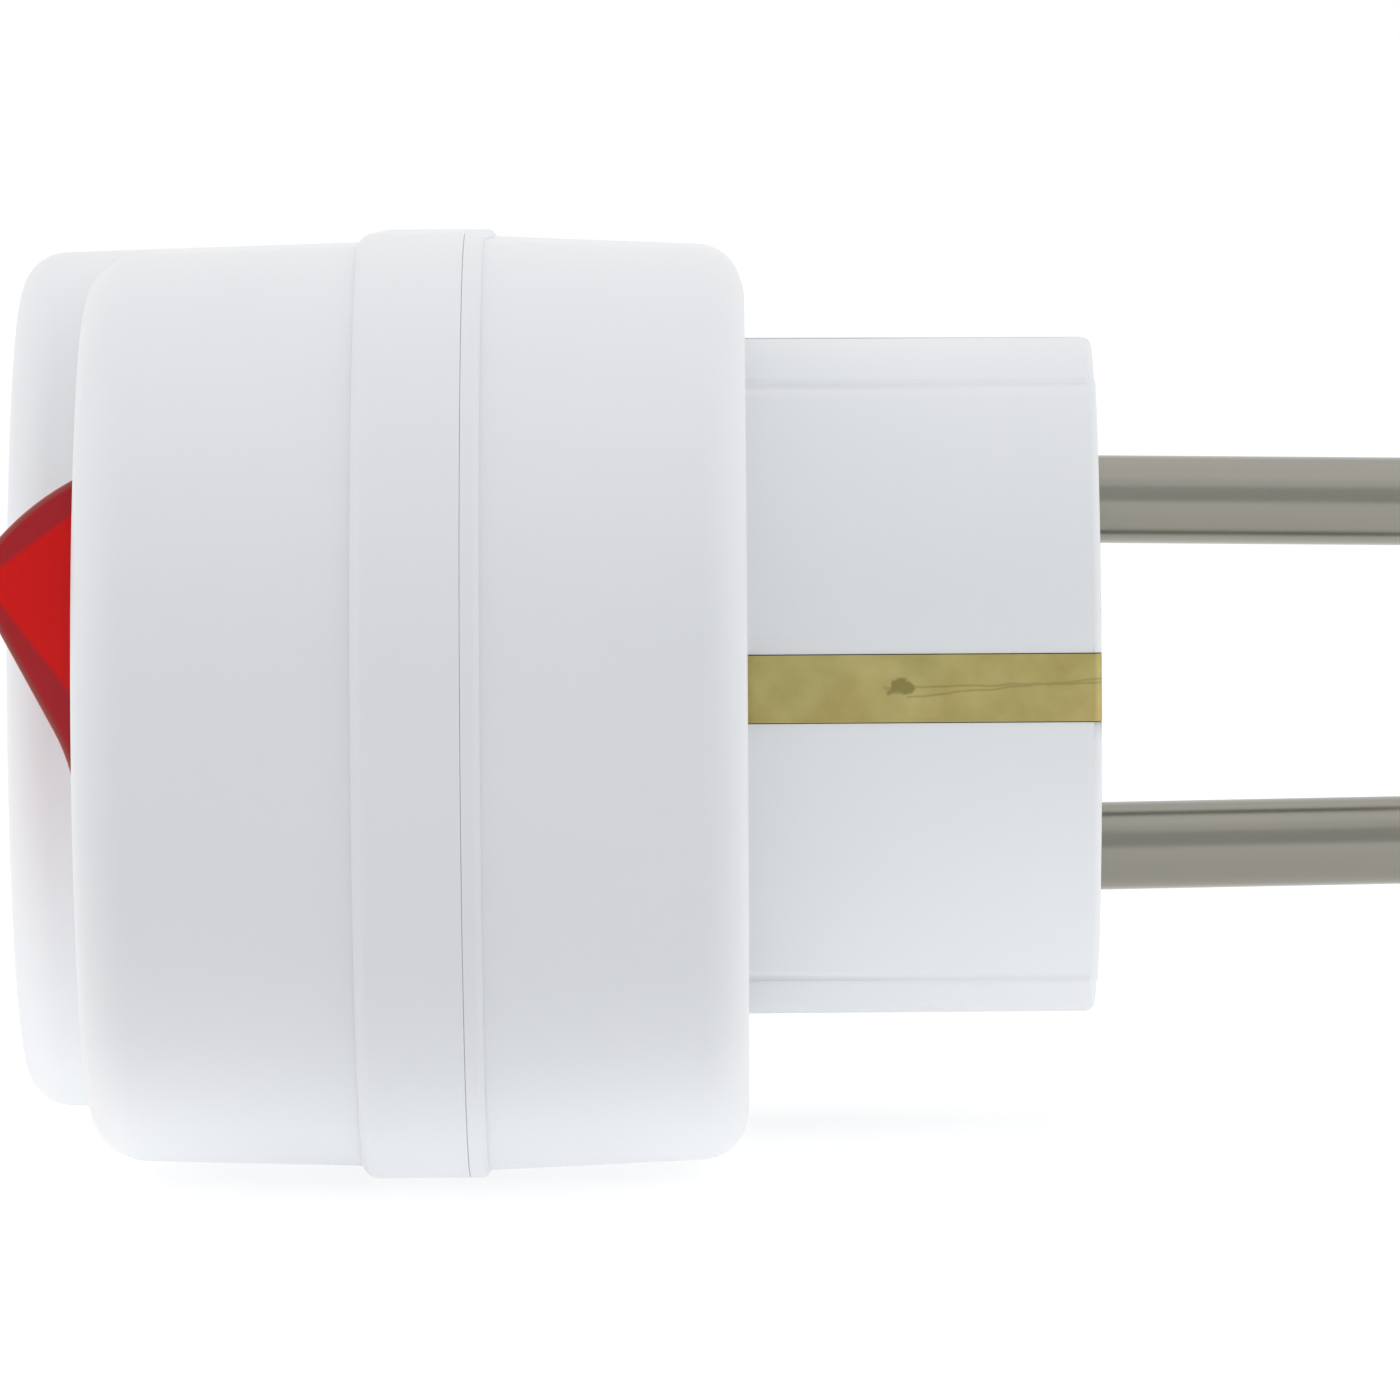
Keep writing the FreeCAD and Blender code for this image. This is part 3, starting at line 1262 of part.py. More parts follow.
def main():
    """Build every piece of the plug and write its file."""
    pieces = [front_cover(), rear_cover(), contact_carrier()]
    pieces.append(plug_pin("plug_pin_upper", ""))
    pieces.append(plug_pin("plug_pin_lower", "-"))
    pieces.append(socket_sleeve("socket_sleeve_upper", ""))
    pieces.append(socket_sleeve("socket_sleeve_lower", "-"))
    for name, side in (("near", "-"), ("far", "")):
        strip = earth_strip(f"earth_strip_{name}", side)
        rivet_holes(strip, STRIP_FOOT, [side], "strip_gauge")
        clip = earth_clip(f"earth_clip_{name}", side)
        rivet_holes(clip, CLIP_FOOT, [side], "strip_gauge")
        pieces += [strip, clip]
    yoke = earth_yoke()
    rivet_holes(yoke, YOKE_TOP, SIDES, "strip_gauge")
    pieces += [yoke, earth_rivets(), switch_housing(), rocker()]
    for name, pole in POLES.items():
        pieces.append(plunger(f"plunger_{name}", pole))
        pieces.append(plunger_spring(f"plunger_spring_{name}", pole))
        pieces.append(contact_lever(f"contact_lever_{name}", pole))
        pieces.append(pivot_terminal(f"pivot_terminal_{name}", pole))
        pieces.append(load_terminal(f"load_terminal_{name}", pole))
    near_corner = f"({FAR_POLE} - near_corner_back)"
    far_corner = f"({FAR_POLE} + far_corner_ahead)"
    pieces.append(line_strap("line_strap_near", "", NEAR_POLE, near_corner))
    pieces.append(line_strap("line_strap_far", "-", FAR_POLE, far_corner))
    for name, corners in load_strap_corners().items():
        pieces.append(load_strap(f"load_strap_{name}", corners))
    pieces += [neon_lamp(), lamp_resistor(), lamp_leads()]
    nose_seat = "(-nose_counterbore)"
    pieces.append(screw("nose_screw", nose_seat, "0", "nose_screw_length - 1"))
    pieces.append(screw("end_screw", END_SEAT, END_POST, "end_screw_length - 1"))
    write_parts(pieces)


main()
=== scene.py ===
"""Finishes, light and camera for the switched adapter plug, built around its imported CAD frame."""

import json
import logging
import math
from dataclasses import dataclass, field
from enum import Enum
from typing import Any

import bmesh
import bpy
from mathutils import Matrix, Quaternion, Vector

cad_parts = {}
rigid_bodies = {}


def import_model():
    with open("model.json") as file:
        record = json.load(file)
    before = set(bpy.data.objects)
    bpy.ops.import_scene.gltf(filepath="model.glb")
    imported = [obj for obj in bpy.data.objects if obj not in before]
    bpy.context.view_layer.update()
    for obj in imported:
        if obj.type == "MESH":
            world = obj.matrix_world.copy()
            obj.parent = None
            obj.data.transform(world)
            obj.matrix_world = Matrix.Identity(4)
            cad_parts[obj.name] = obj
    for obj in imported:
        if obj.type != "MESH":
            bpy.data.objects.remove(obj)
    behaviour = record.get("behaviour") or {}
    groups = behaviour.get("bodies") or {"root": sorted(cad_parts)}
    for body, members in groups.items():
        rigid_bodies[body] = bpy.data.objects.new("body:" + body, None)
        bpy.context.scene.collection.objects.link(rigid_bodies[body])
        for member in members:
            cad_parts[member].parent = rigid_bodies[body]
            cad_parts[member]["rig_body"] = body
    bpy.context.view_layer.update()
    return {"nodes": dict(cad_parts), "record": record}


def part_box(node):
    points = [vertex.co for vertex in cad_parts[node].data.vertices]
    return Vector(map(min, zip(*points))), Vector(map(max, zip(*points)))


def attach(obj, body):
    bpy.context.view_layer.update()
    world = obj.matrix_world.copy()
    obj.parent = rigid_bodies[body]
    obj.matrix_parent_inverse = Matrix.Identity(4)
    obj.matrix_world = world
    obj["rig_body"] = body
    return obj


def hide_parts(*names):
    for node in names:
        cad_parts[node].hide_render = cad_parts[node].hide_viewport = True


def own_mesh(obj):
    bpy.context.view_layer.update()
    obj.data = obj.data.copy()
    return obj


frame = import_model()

MM = 0.001
SHARP_DEG = 32.0
log = logging.getLogger("adapter_plug")

Tree = bpy.types.NodeTree
Socket = bpy.types.NodeSocket


class Slot(Enum):
    """The record's material slots."""

    SHELL = "shell_white"
    CARRIER = "carrier_grey"
    PIN = "pin_nickel"
    CONTACT = "contact_brass"
    EARTH = "earth_brass"
    HOUSING = "housing_black"
    ROCKER = "rocker_red"
    LAMP = "lamp_glass"
    RESISTOR = "resistor_body"
    LEAD = "lead_wire"
    SPRING = "spring_steel"
    SCREW = "screw_steel"


class Ray(Enum):
    """The rays that see the white background instead of the plain light level."""

    CAMERA = "Is Camera Ray"
    GLOSSY = "Is Glossy Ray"
    TRANSMISSION = "Is Transmission Ray"


def srgb(code: str) -> tuple[float, float, float, float]:
    """Turn an sRGB hex colour to the linear values that a shader takes.

    Args:
        code: six hex digits, with or without a leading hash.

    Returns:
        Linear red, green and blue, and an alpha of 1.
    """
    digits = code.lstrip("#")
    parts = [int(digits[i : i + 2], 16) / 255 for i in (0, 2, 4)]
    red, green, blue = [
        part / 12.92 if part <= 0.04045 else ((part + 0.055) / 1.055) ** 2.4 for part in parts
    ]
    return red, green, blue, 1.0


def per_size(size_mm: float) -> float:
    """Return the noise scale whose features are about this many millimetres across."""
    return 1 / (size_mm * MM)


def add_node(tree: Tree, kind: str, inputs: Any = (), **settings: Any) -> Any:
    """Add a node with its settings, and link or set its inputs.

    Args:
        tree: the node tree that gets the node.
        kind: the node's type name.
        inputs: what goes into it, in the order of its inputs or by their names. A socket is
            linked, and so is each socket of a list; any other value is set.
        **settings: the node's own properties.

    Returns:
        The node's outputs.
    """
    node = tree.nodes.new(kind)
    for name, value in settings.items():
        setattr(node, name, value)
    for name, value in (inputs if isinstance(inputs, dict) else dict(enumerate(inputs))).items():
        if isinstance(value, (Socket, list)):
            for source in value if isinstance(value, list) else [value]:
                tree.links.new(source, node.inputs[name])
        else:
            node.inputs[name].default_value = value
    return node.outputs


def bare_material(name: str) -> bpy.types.Material:
    """Start a material.

    Args:
        name: its name.

    Returns:
        The material, with an empty node tree.
    """
    made = bpy.data.materials.new(name)
    made.use_nodes = True
    made.node_tree.nodes.clear()
    return made


@dataclass(frozen=True)
class Finish:
    """A surface: a real material and how it was made.

    It clouds from light to dark over cloud_mm, and its grain shifts roughness and height over
    grain_mm. A stretch below 1 draws both out along that axis.
    """

    name: str
    light: str
    dark: str
    roughness: float
    roughness_spread: float = 0.05
    cloud_mm: float = 8.0
    grain_mm: float = 0.4
    grain_depth_mm: float = 0.004
    stretch: tuple[float, float, float] = (1.0, 1.0, 1.0)
    cloud_detail: float = 3.0
    grain_detail: float = 2.0
    metallic: float = 0.0
    transmission: float = 0.0
    shine: float = 0.5

    def material(self) -> bpy.types.Material:
        """Build the node tree of this finish.

        Returns:
            The material.
        """
        made = bare_material(self.name)
        tree = made.node_tree
        place = add_node(tree, "ShaderNodeTexCoord")["Object"]
        cloud = self.noise(tree, place, self.cloud_mm, self.cloud_detail)
        tones = {"Factor": cloud, "A": srgb(self.dark), "B": srgb(self.light)}
        colour = add_node(tree, "ShaderNodeMix", tones, data_type="RGBA")["Result"]
        grain = self.noise(tree, place, self.grain_mm, self.grain_detail)
        least, most = self.roughness - self.roughness_spread, self.roughness + self.roughness_spread
        roughness = {"Value": grain, "To Min": least, "To Max": most}
        bump = {"Height": grain, "Strength": 1.0, "Distance": self.grain_depth_mm * MM}
        surface = {
            "Base Color": self.paint(tree, place, colour),
            "Roughness": add_node(tree, "ShaderNodeMapRange", roughness)[0],
            "Normal": add_node(tree, "ShaderNodeBump", bump)[0],
            "Metallic": self.metallic,
            "Transmission Weight": self.transmission,
            "Specular IOR Level": self.shine,
        }
        shader = add_node(tree, "ShaderNodeBsdfPrincipled", surface)[0]
        add_node(tree, "ShaderNodeOutputMaterial", {"Surface": shader})
        return made

    def noise(self, tree: Tree, place: Socket, size_mm: float, detail: float) -> Socket:
        """Add a noise of a real feature size, drawn out along the finish's stretch.

        Args:
            tree: the material's node tree.
            place: the coordinates.
            size_mm: size of the features in millimetres.
            detail: number of finer layers.

        Returns:
            The noise's value.
        """
        mapped = add_node(tree, "ShaderNodeMapping", {"Vector": place, "Scale": self.stretch})[0]
        sizes = {"Vector": mapped, "Scale": per_size(size_mm), "Detail": detail}
        return add_node(tree, "ShaderNodeTexNoise", sizes)[0]

    def paint(self, tree: Tree, place: Socket, colour: Socket) -> Socket:
        """Return the colour as it is; a finish with marks adds them here."""
        return colour


@dataclass(frozen=True)
class Metal(Finish):
    """A bare or plated metal, with streaks along the way it was drawn or rolled."""

    metallic: float = 1.0


@dataclass(frozen=True)
class HandledBrass(Metal):
    """Stamped brass of the earth strips, with a rubbed spot and thin scratches from use."""

    rub_place_mm: tuple[float, float, float] = (-10.8, 0.0, 0.1)
    rub_length_mm: float = 2.1
    rub_height_mm: float = 0.8
    rub_grain_mm: float = 0.45
    rub_ragged: float = 4.0
    rub_edge: tuple[float, float] = (0.5, 1.3)
    rub_share: float = 0.6
    rub_tone: str = "#6B6236"
    patch_mm: float = 4.0
    patch_edge: tuple[float, float] = (0.5, 0.75)
    patch_share: float = 0.6
    patch_tone: str = "#B4945A"
    scratch_from_mm: float = -10.4
    scratch_width_mm: float = 0.09
    scratch_core: float = 0.3
    scratch_share: float = 0.3
    wander_mm: float = 0.5
    wander_grain_mm: float = 1.5
    scratches: tuple[tuple[float, float], ...] = ((0.27, 0.02), (0.5, 0.0945))

    def swing(self, tree: Tree, place: Socket, grain_mm: float, reach: float) -> Socket:
        """Return a noise that swings half its reach to both sides of zero."""
        factors = (self.noise(tree, place, grain_mm, 1.0), reach, -reach / 2)
        return add_node(tree, "ShaderNodeMath", factors, operation="MULTIPLY_ADD")[0]

    def paint(self, tree: Tree, place: Socket, colour: Socket) -> Socket:
        """Add warmer patches, the rubbed spot and the scratches from it to the nose.

        Args:
            tree: the material's node tree.
            place: Object coordinates.
            colour: the brass colour so far.

        Returns:
            The colour with patches, rub and scratches.
        """
        clouds = self.noise(tree, place, self.patch_mm, self.cloud_detail)
        patches = (clouds, *self.patch_edge, 0.0, self.patch_share)
        warm = add_node(tree, "ShaderNodeMapRange", patches)[0]
        tones = {"Factor": warm, "A": colour, "B": srgb(self.patch_tone)}
        warmed = add_node(tree, "ShaderNodeMix", tones, data_type="RGBA")["Result"]
        marks = self.rub(tree, place)
        wander = self.swing(tree, place, self.wander_grain_mm, self.wander_mm * MM)
        for level, slope in self.scratches:
            scratch = self.scratch(tree, place, wander, level * MM, slope)
            marks = add_node(tree, "ShaderNodeMath", (marks, scratch), operation="MAXIMUM")[0]
        tones = {"Factor": marks, "A": warmed, "B": srgb(self.rub_tone)}
        return add_node(tree, "ShaderNodeMix", tones, data_type="RGBA")["Result"]

    def rub(self, tree: Tree, place: Socket) -> Socket:
        """Mark an oval spot with a ragged edge.

        Args:
            tree: the material's node tree.
            place: Object coordinates.

        Returns:
            The mark's share at each point.
        """
        middle = tuple(value * MM for value in self.rub_place_mm)
        spread = (2 / (self.rub_length_mm * MM), 0.0, 2 / (self.rub_height_mm * MM))
        away = add_node(tree, "ShaderNodeVectorMath", (place, middle), operation="SUBTRACT")[0]
        oval = add_node(tree, "ShaderNodeVectorMath", (away, spread), operation="MULTIPLY")[0]
        square = add_node(tree, "ShaderNodeVectorMath", (oval, oval), operation="DOT_PRODUCT")
        ragged = self.swing(tree, place, self.rub_grain_mm, self.rub_ragged)
        outward = add_node(tree, "ShaderNodeMath", (square["Value"], ragged), operation="ADD")[0]
        edge = (outward, *self.rub_edge, self.rub_share, 0.0)
        return add_node(tree, "ShaderNodeMapRange", edge)[0]

    def scratch(
        self, tree: Tree, place: Socket, wander: Socket, level: float, slope: float
    ) -> Socket:
        """Mark one scratch, from the rubbed spot to the nose.

        Args:
            tree: the material's node tree.
            place: Object coordinates.
            wander: how far the scratch strays from its line at each point.
            level: its height at the nose.
            slope: its rise along X.

        Returns:
            The mark's share at each point.
        """
        along, _, high = add_node(tree, "ShaderNodeSeparateXYZ", (place,))
        start = add_node(tree, "ShaderNodeMath", (wander, level), operation="ADD")[0]
        line = add_node(tree, "ShaderNodeMath", (along, slope, start), operation="MULTIPLY_ADD")[0]
        over = add_node(tree, "ShaderNodeMath", (high, line), operation="SUBTRACT")[0]
        away = add_node(tree, "ShaderNodeMath", (over,), operation="ABSOLUTE")[0]
        width = self.scratch_width_mm * MM
        edge = (away, self.scratch_core * width, width, self.scratch_share, 0.0)
        cut = add_node(tree, "ShaderNodeMapRange", edge)[0]
        start_at = (along, self.scratch_from_mm * MM)
        begun = add_node(tree, "ShaderNodeMath", start_at, operation="GREATER_THAN")[0]
        return add_node(tree, "ShaderNodeMath", (cut, begun), operation="MULTIPLY")[0]


@dataclass(frozen=True)
class ClearPlastic(Finish):
    """Polished polycarbonate, with painted shade on its end faces where the wall shows through all
    round, darker than the middle, and on its rounded edges.
    """

    transmission: float = 0.1
    shine: float = 0.12
    # painted shade: a darker red for the wall seen through the end faces, and a darker brown for
    # the rounded edges
    painted_wall_shade_tone: str = "#B2242C"
    painted_rim_shade_tone: str = "#7A5148"
    roof_mm: float = 4.72
    roof_slope_deg: float = 19.1
    side_mm: float = 12.79
    side_slope_deg: float = 17.9
    pivot_mm: tuple[float, float, float] = (-46.8, -40.0, 0.0)
    tilt_deg: float = 18.3
    soft_mm: float = 0.12
    end_from: float = 0.6
    rim_shade_between: tuple[float, float] = (0.15, 0.9)
    rim_shade_share: float = 0.6

    def paint(self, tree: Tree, place: Socket, colour: Socket) -> Socket:
        """Paint shade into the colour where the walls show through the two end faces, and on the
        rounded edges.

        Args:
            tree: the material's node tree.
            place: Object coordinates.
            colour: the plastic's colour so far.

        Returns:
            The colour with painted shade on the walls and edges.
        """
        facing = add_node(tree, "ShaderNodeNewGeometry")["True Normal"]
        sideways = add_node(tree, "ShaderNodeSeparateXYZ", (facing,))["Y"]
        square_on = add_node(tree, "ShaderNodeMath", (sideways,), operation="ABSOLUTE")[0]
        at_end = (square_on, self.end_from)
        end = add_node(tree, "ShaderNodeMath", at_end, operation="GREATER_THAN")[0]
        # painted shade: the wall seen through each end face is darkened in the colour
        wall = (self.wall(tree, place), end)
        wall_shaded = {
            "Factor": add_node(tree, "ShaderNodeMath", wall, operation="MULTIPLY")[0],
            "A": colour,
            "B": srgb(self.painted_wall_shade_tone),
        }
        # painted shade: the rounded edges, where the normal turns between side and end, are
        # darkened in the colour
        least, most = self.rim_shade_between
        between = (square_on, (least + most) / 2, (most - least) / 2)
        rounded = add_node(tree, "ShaderNodeMath", between, operation="COMPARE")[0]
        edge_shade = (rounded, self.rim_shade_share)
        rim_shaded = {
            "Factor": add_node(tree, "ShaderNodeMath", edge_shade, operation="MULTIPLY")[0],
            "A": add_node(tree, "ShaderNodeMix", wall_shaded, data_type="RGBA")["Result"],
            "B": srgb(self.painted_rim_shade_tone),
        }
        return add_node(tree, "ShaderNodeMix", rim_shaded, data_type="RGBA")["Result"]

    def wall(self, tree: Tree, place: Socket) -> Socket:
        """Find the wall under the V-shaped roof and the two sides, where the end faces get painted
        shade.

        Args:
            tree: the material's node tree.
            place: Object coordinates.

        Returns:
            1 in the wall and 0 in the hollow, with a soft step between.
        """
        pivot = tuple(value * MM for value in self.pivot_mm)
        centred = add_node(tree, "ShaderNodeVectorMath", (place, pivot), operation="SUBTRACT")[0]
        level = {"Vector": centred, "Angle": math.radians(self.tilt_deg)}
        turned = add_node(tree, "ShaderNodeVectorRotate", level, rotation_type="Y_AXIS")[0]
        out, _, across = add_node(tree, "ShaderNodeSeparateXYZ", (turned,))
        beside = add_node(tree, "ShaderNodeMath", (across,), operation="ABSOLUTE")[0]
        half = add_node(tree, "ShaderNodeCombineXYZ", (out, 0.0, beside))[0]
        roof, side = math.radians(self.roof_slope_deg), math.radians(self.side_slope_deg)
        depths = []
        for way, away_mm in (
            ((math.cos(roof), 0.0, math.sin(roof)), self.roof_mm * math.cos(roof)),
            ((math.sin(side), 0.0, -math.cos(side)), self.side_mm * math.cos(side)),
        ):
            over = add_node(tree, "ShaderNodeVectorMath", (half, way), operation="DOT_PRODUCT")
            inward = (over["Value"], away_mm * MM)
            depths.append(add_node(tree, "ShaderNodeMath", inward, operation="ADD")[0])
        depth = add_node(tree, "ShaderNodeMath", tuple(depths), operation="MINIMUM")[0]
        soft = self.soft_mm * MM
        return add_node(tree, "ShaderNodeMapRange", (depth, -soft, soft, 1.0, 0.0))[0]


@dataclass(frozen=True)
class Glass(Finish):
    """Clear drawn glass of the lamp's bulb."""

    transmission: float = 0.95


def all_finishes() -> dict[Slot, Finish]:
    """Return the finish of each material slot, each after its real material."""
    # The grain of such surfaces is mostly under 0.1 mm. It is drawn 0.1 to 1 mm coarse, and
    # shallow, so that it shows as a slight unevenness of the shine.
    return {
        # Moulded white thermoset: faint clouding and an even satin gloss.
        Slot.SHELL: Finish(
            "moulded_thermoset", "#E7E9EC", "#E3E6E9", 0.36, 0.04, 12.0, 0.5, 0.002
        ),
        # Moulded insulating plastic: duller and greyer than the shell.
        Slot.CARRIER: Finish(
            "moulded_insulator", "#C6C8C8", "#BCBEBE", 0.55, 0.05, 5.0, 0.4, 0.004
        ),
        # Nickel plating on turned pins: satin, with streaks along the pin.
        Slot.PIN: Metal(
            "nickel_plating", "#9E9C93", "#8C8A80", 0.24, 0.05, 3.0, 0.25, 0.001, (0.04, 1.0, 1.0)
        ),
        # Bare stamped brass that nothing has rubbed: bright and slightly rolled.
        Slot.CONTACT: Metal(
            "stamped_brass", "#D9BE78", "#CDB06A", 0.3, 0.06, 4.0, 0.3, 0.002, (0.3, 1.0, 1.0)
        ),
        # The earth strips' brass, dulled and mottled by handling.
        Slot.EARTH: HandledBrass(
            "handled_brass", "#CBBF82", "#9C9156", 0.42, 0.08, 1.6, 0.3, 0.002, (0.7, 1.0, 0.7)
        ),
        # Black moulded thermoset of the switch: matt, with a fine grain.
        Slot.HOUSING: Finish("black_thermoset", "#1E1F20", "#17181A", 0.5, 0.06, 3.0, 0.3, 0.004),
        # Polished red polycarbonate, clear enough to glow.
        Slot.ROCKER: ClearPlastic(
            "red_polycarbonate", "#E51210", "#DA1110", 0.14, 0.02, 6.0, 1.0, 0.001
        ),
        Slot.LAMP: Glass("drawn_glass", "#F4EDE4", "#EFE6DC", 0.06, 0.02, 3.0, 1.0, 0.001),
        # Lacquered ceramic of the resistor: a beige coat with small pits.
        Slot.RESISTOR: Finish(
            "lacquered_ceramic", "#CDB694", "#BFA682", 0.45, 0.05, 1.0, 0.2, 0.006
        ),
        # Tinned copper: soft grey and a little dull.
        Slot.LEAD: Metal("tinned_copper", "#C9CACB", "#B9BBBC", 0.32, 0.06, 1.0, 0.15, 0.001),
        # Drawn spring wire: grey steel with a dull shine.
        Slot.SPRING: Metal("drawn_steel", "#A9ABAD", "#96989A", 0.3, 0.05, 1.0, 0.1, 0.001),
        # Zinc plating with the faint streaks of the turned head.
        Slot.SCREW: Metal("zinc_plating", "#B8BABA", "#A6A8A9", 0.34, 0.06, 1.2, 0.2, 0.001),
    }


@dataclass
class Palette:
    """The materials by slot, each built once."""

    finishes: dict[Slot, Finish] = field(default_factory=all_finishes)
    made: dict[Slot, bpy.types.Material] = field(default_factory=dict)

    def material(self, slot: Slot) -> bpy.types.Material:
        """Build a slot's material the first time that it is asked for.

        Args:
            slot: the material slot.

        Returns:
            The material.
        """
        if slot not in self.made:
            self.made[slot] = self.finishes[slot].material()
        return self.made[slot]

    def paint(self, piece: bpy.types.Object, slot: Slot) -> None:
        """Give a piece the slot's material and nothing else."""
        piece.data.materials.clear()
        piece.data.materials.append(self.material(slot))


def body_of_node(node: str) -> str:
    """Return the body that a CAD node rides on."""
    return frame["nodes"][node]["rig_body"]


@dataclass
class DressedCopy:
    """A piece made from a CAD node: welded, smoothed and with its sharp edges eased.

    Each edge that turns by more than sharp_deg is eased by edge_mm, by less where its neighbours
    leave less room, and by no more than fine_mm on the plane X = fine_plane_mm.
    """

    node: str
    slot: Slot
    edge_mm: float = 0.15
    edge_steps: int = 2
    flat_deg: float = 0.5
    sharp_deg: float = SHARP_DEG
    weld_mm: float = 0.002
    room_share: float = 0.4
    least_mm: float = 0.02
    crease_deg: float = SHARP_DEG
    fine_plane_mm: float | None = None
    fine_mm: float = 0.05
    plane_slack_mm: float = 0.01
    along_share: float = 0.8
    evening_rounds: int = 2

    def mesh(self) -> bpy.types.Mesh:
        """Weld the node's loose triangles and join the ones that lie in one plane.

        Returns:
            The new mesh.
        """
        welded = bmesh.new()
        welded.from_mesh(frame["nodes"][self.node].data)
        bmesh.ops.remove_doubles(welded, verts=welded.verts, dist=self.weld_mm * MM)
        bmesh.ops.dissolve_limit(
            welded,
            angle_limit=math.radians(self.flat_deg),
            verts=welded.verts,
            edges=welded.edges,
        )
        bmesh.ops.connect_verts_concave(welded, faces=welded.faces)
        for face in welded.faces:
            face.smooth = True
        self.weigh_edges(welded)
        made = bpy.data.meshes.new(self.node + "_dressed")
        welded.to_mesh(made)
        welded.free()
        made.set_sharp_from_angle(angle=math.radians(self.crease_deg))
        return made

    def room(self, edge: bmesh.types.BMEdge) -> float:
        """Find how wide an edge can be eased before it meets its neighbours.

        Args:
            edge: an edge between two faces.

        Returns:
            The width in metres.
        """
        start = edge.verts[0].co
        along = (edge.verts[1].co - start).normalized()
        least = [
            max((vert.co - start).cross(along).length for vert in face.verts)
            for face in edge.link_faces
        ]
        for vert in edge.verts:
            for other in vert.link_edges:
                way = (other.other_vert(vert).co - vert.co).normalized()
                if other is not edge and abs(way.dot(along)) < self.along_share:
                    least.append(other.calc_length())
        if self.fine_plane_mm is not None and all(
            abs(vert.co.x / MM - self.fine_plane_mm) < self.plane_slack_mm for vert in edge.verts
        ):
            least.append(self.fine_mm * MM / self.room_share)
        return self.room_share * min(least)

    def is_hollow(self, edge: bmesh.types.BMEdge) -> bool:
        """Return whether an edge is a sharp inner corner."""
        return edge.calc_face_angle_signed(0.0) < -math.radians(self.sharp_deg)

    def is_eased(self, edge: bmesh.types.BMEdge) -> bool:
        """Return whether an edge is a sharp outer one, clear of sharp inner corners."""
        return (
            len(edge.link_faces) == 2
            and edge.calc_face_angle_signed(0.0) > math.radians(self.sharp_deg)
            and not any(self.is_hollow(other) for vert in edge.verts for other in vert.link_edges)
        )

    def weigh_edges(self, welded: bmesh.types.BMesh) -> None:
        """Weigh each sharp outer edge by the share of the full easing it has room for.

        Args:
            welded: the mesh.
        """
        layer = welded.edges.layers.float.new("bevel_weight_edge")
        sharp = [edge for edge in welded.edges if self.is_eased(edge)]
        room = {edge: self.room(edge) for edge in sharp}
        for _ in range(self.evening_rounds):
            at_vert: dict[bmesh.types.BMVert, float] = {}
            for edge, width in room.items():
                for vert in edge.verts:
                    at_vert[vert] = min(width, at_vert.get(vert, width))
            room = {edge: min(at_vert[vert] for vert in edge.verts) for edge in sharp}
        for edge, width in room.items():
            share = min(1.0, width / (self.edge_mm * MM))
            edge[layer] = share if width > self.least_mm * MM else 0.0

    def build(self, palette: Palette) -> None:
        """Build the piece, dress it and let it stand for its node.

        Args:
            palette: the materials.
        """
        piece = bpy.data.objects.new(self.node + "_dressed", self.mesh())
        bpy.context.scene.collection.objects.link(piece)
        ease = piece.modifiers.new("eased_edges", "BEVEL")
        ease.width = self.edge_mm * MM
        ease.segments = self.edge_steps
        ease.limit_method = "WEIGHT"
        ease.use_clamp_overlap = False
        even = piece.modifiers.new("even_shading", "WEIGHTED_NORMAL")
        even.keep_sharp = True
        palette.paint(piece, self.slot)
        stand_for(self.node, piece)


@dataclass
class RearShell(DressedCopy):
    """The rear cover, whose edge is drawn up to the front cover's until a hairline is left.

    What lies beyond outside_mm from the line between the two round ends is drawn.
    """

    outside_mm: float = 23.9
    middle_mm: float = -37.0
    draw_mm: float = 0.09
    seat_from_mm: float = -20.0
    seat_half_mm: float = 2.6
    ledge_mm: float = 16.1
    ledge_slack_mm: float = 0.15

    def is_eased(self, edge: bmesh.types.BMEdge) -> bool:
        """Leave out the edges of the strips' seats and of the boss's ledges.

        Args:
            edge: an edge of the mesh.

        Returns:
            Whether the edge is eased.
        """
        on_boss = all(vert.co.x > self.seat_from_mm * MM for vert in edge.verts)
        heights = [abs(vert.co.z) / MM for vert in edge.verts]
        at_seat = max(heights) < self.seat_half_mm
        at_ledge = all(abs(height - self.ledge_mm) < self.ledge_slack_mm for height in heights)
        return not (on_boss and (at_seat or at_ledge)) and super().is_eased(edge)

    def weigh_edges(self, welded: bmesh.types.BMesh) -> None:
        """Draw the outer edge forward, then weigh the edges.

        Args:
            welded: the mesh.
        """
        drawn = self.fine_plane_mm
        for vert in welded.verts:
            place = vert.co / MM
            across = Vector((0.0, place.y - min(0.0, max(self.middle_mm, place.y)), place.z))
            on_edge = abs(place.x - drawn) < self.plane_slack_mm
            if on_edge and across.length > self.outside_mm:
                vert.co.x -= self.draw_mm * MM
        self.fine_plane_mm = drawn - self.draw_mm
        super().weigh_edges(welded)


@dataclass
class Covers:
    """The two white shells."""

    edge_mm: float = 0.3
    edge_steps: int = 3
    crease_deg: float = 24.0
    band_end_mm: float = -33.4
    rear_edge_mm: float = -33.3

    def build(self, palette: Palette) -> None:
        """Build both covers.

        Args:
            palette: the materials.
        """
        for kind, node, plane in (
            (DressedCopy, "front_cover", self.band_end_mm),
            (RearShell, "rear_cover", self.rear_edge_mm),
        ):
            kind(
                node,
                Slot.SHELL,
                self.edge_mm,
                self.edge_steps,
                crease_deg=self.crease_deg,
                fine_plane_mm=plane,
            ).build(palette)


@dataclass
class RockerSwitch:
    """The red rocker that tilts in the front cover's window."""

    edge_mm: float = 0.25
    edge_steps: int = 3

    def build(self, palette: Palette) -> None:
        """Build the rocker."""
        DressedCopy("rocker", Slot.ROCKER, self.edge_mm, self.edge_steps).build(palette)


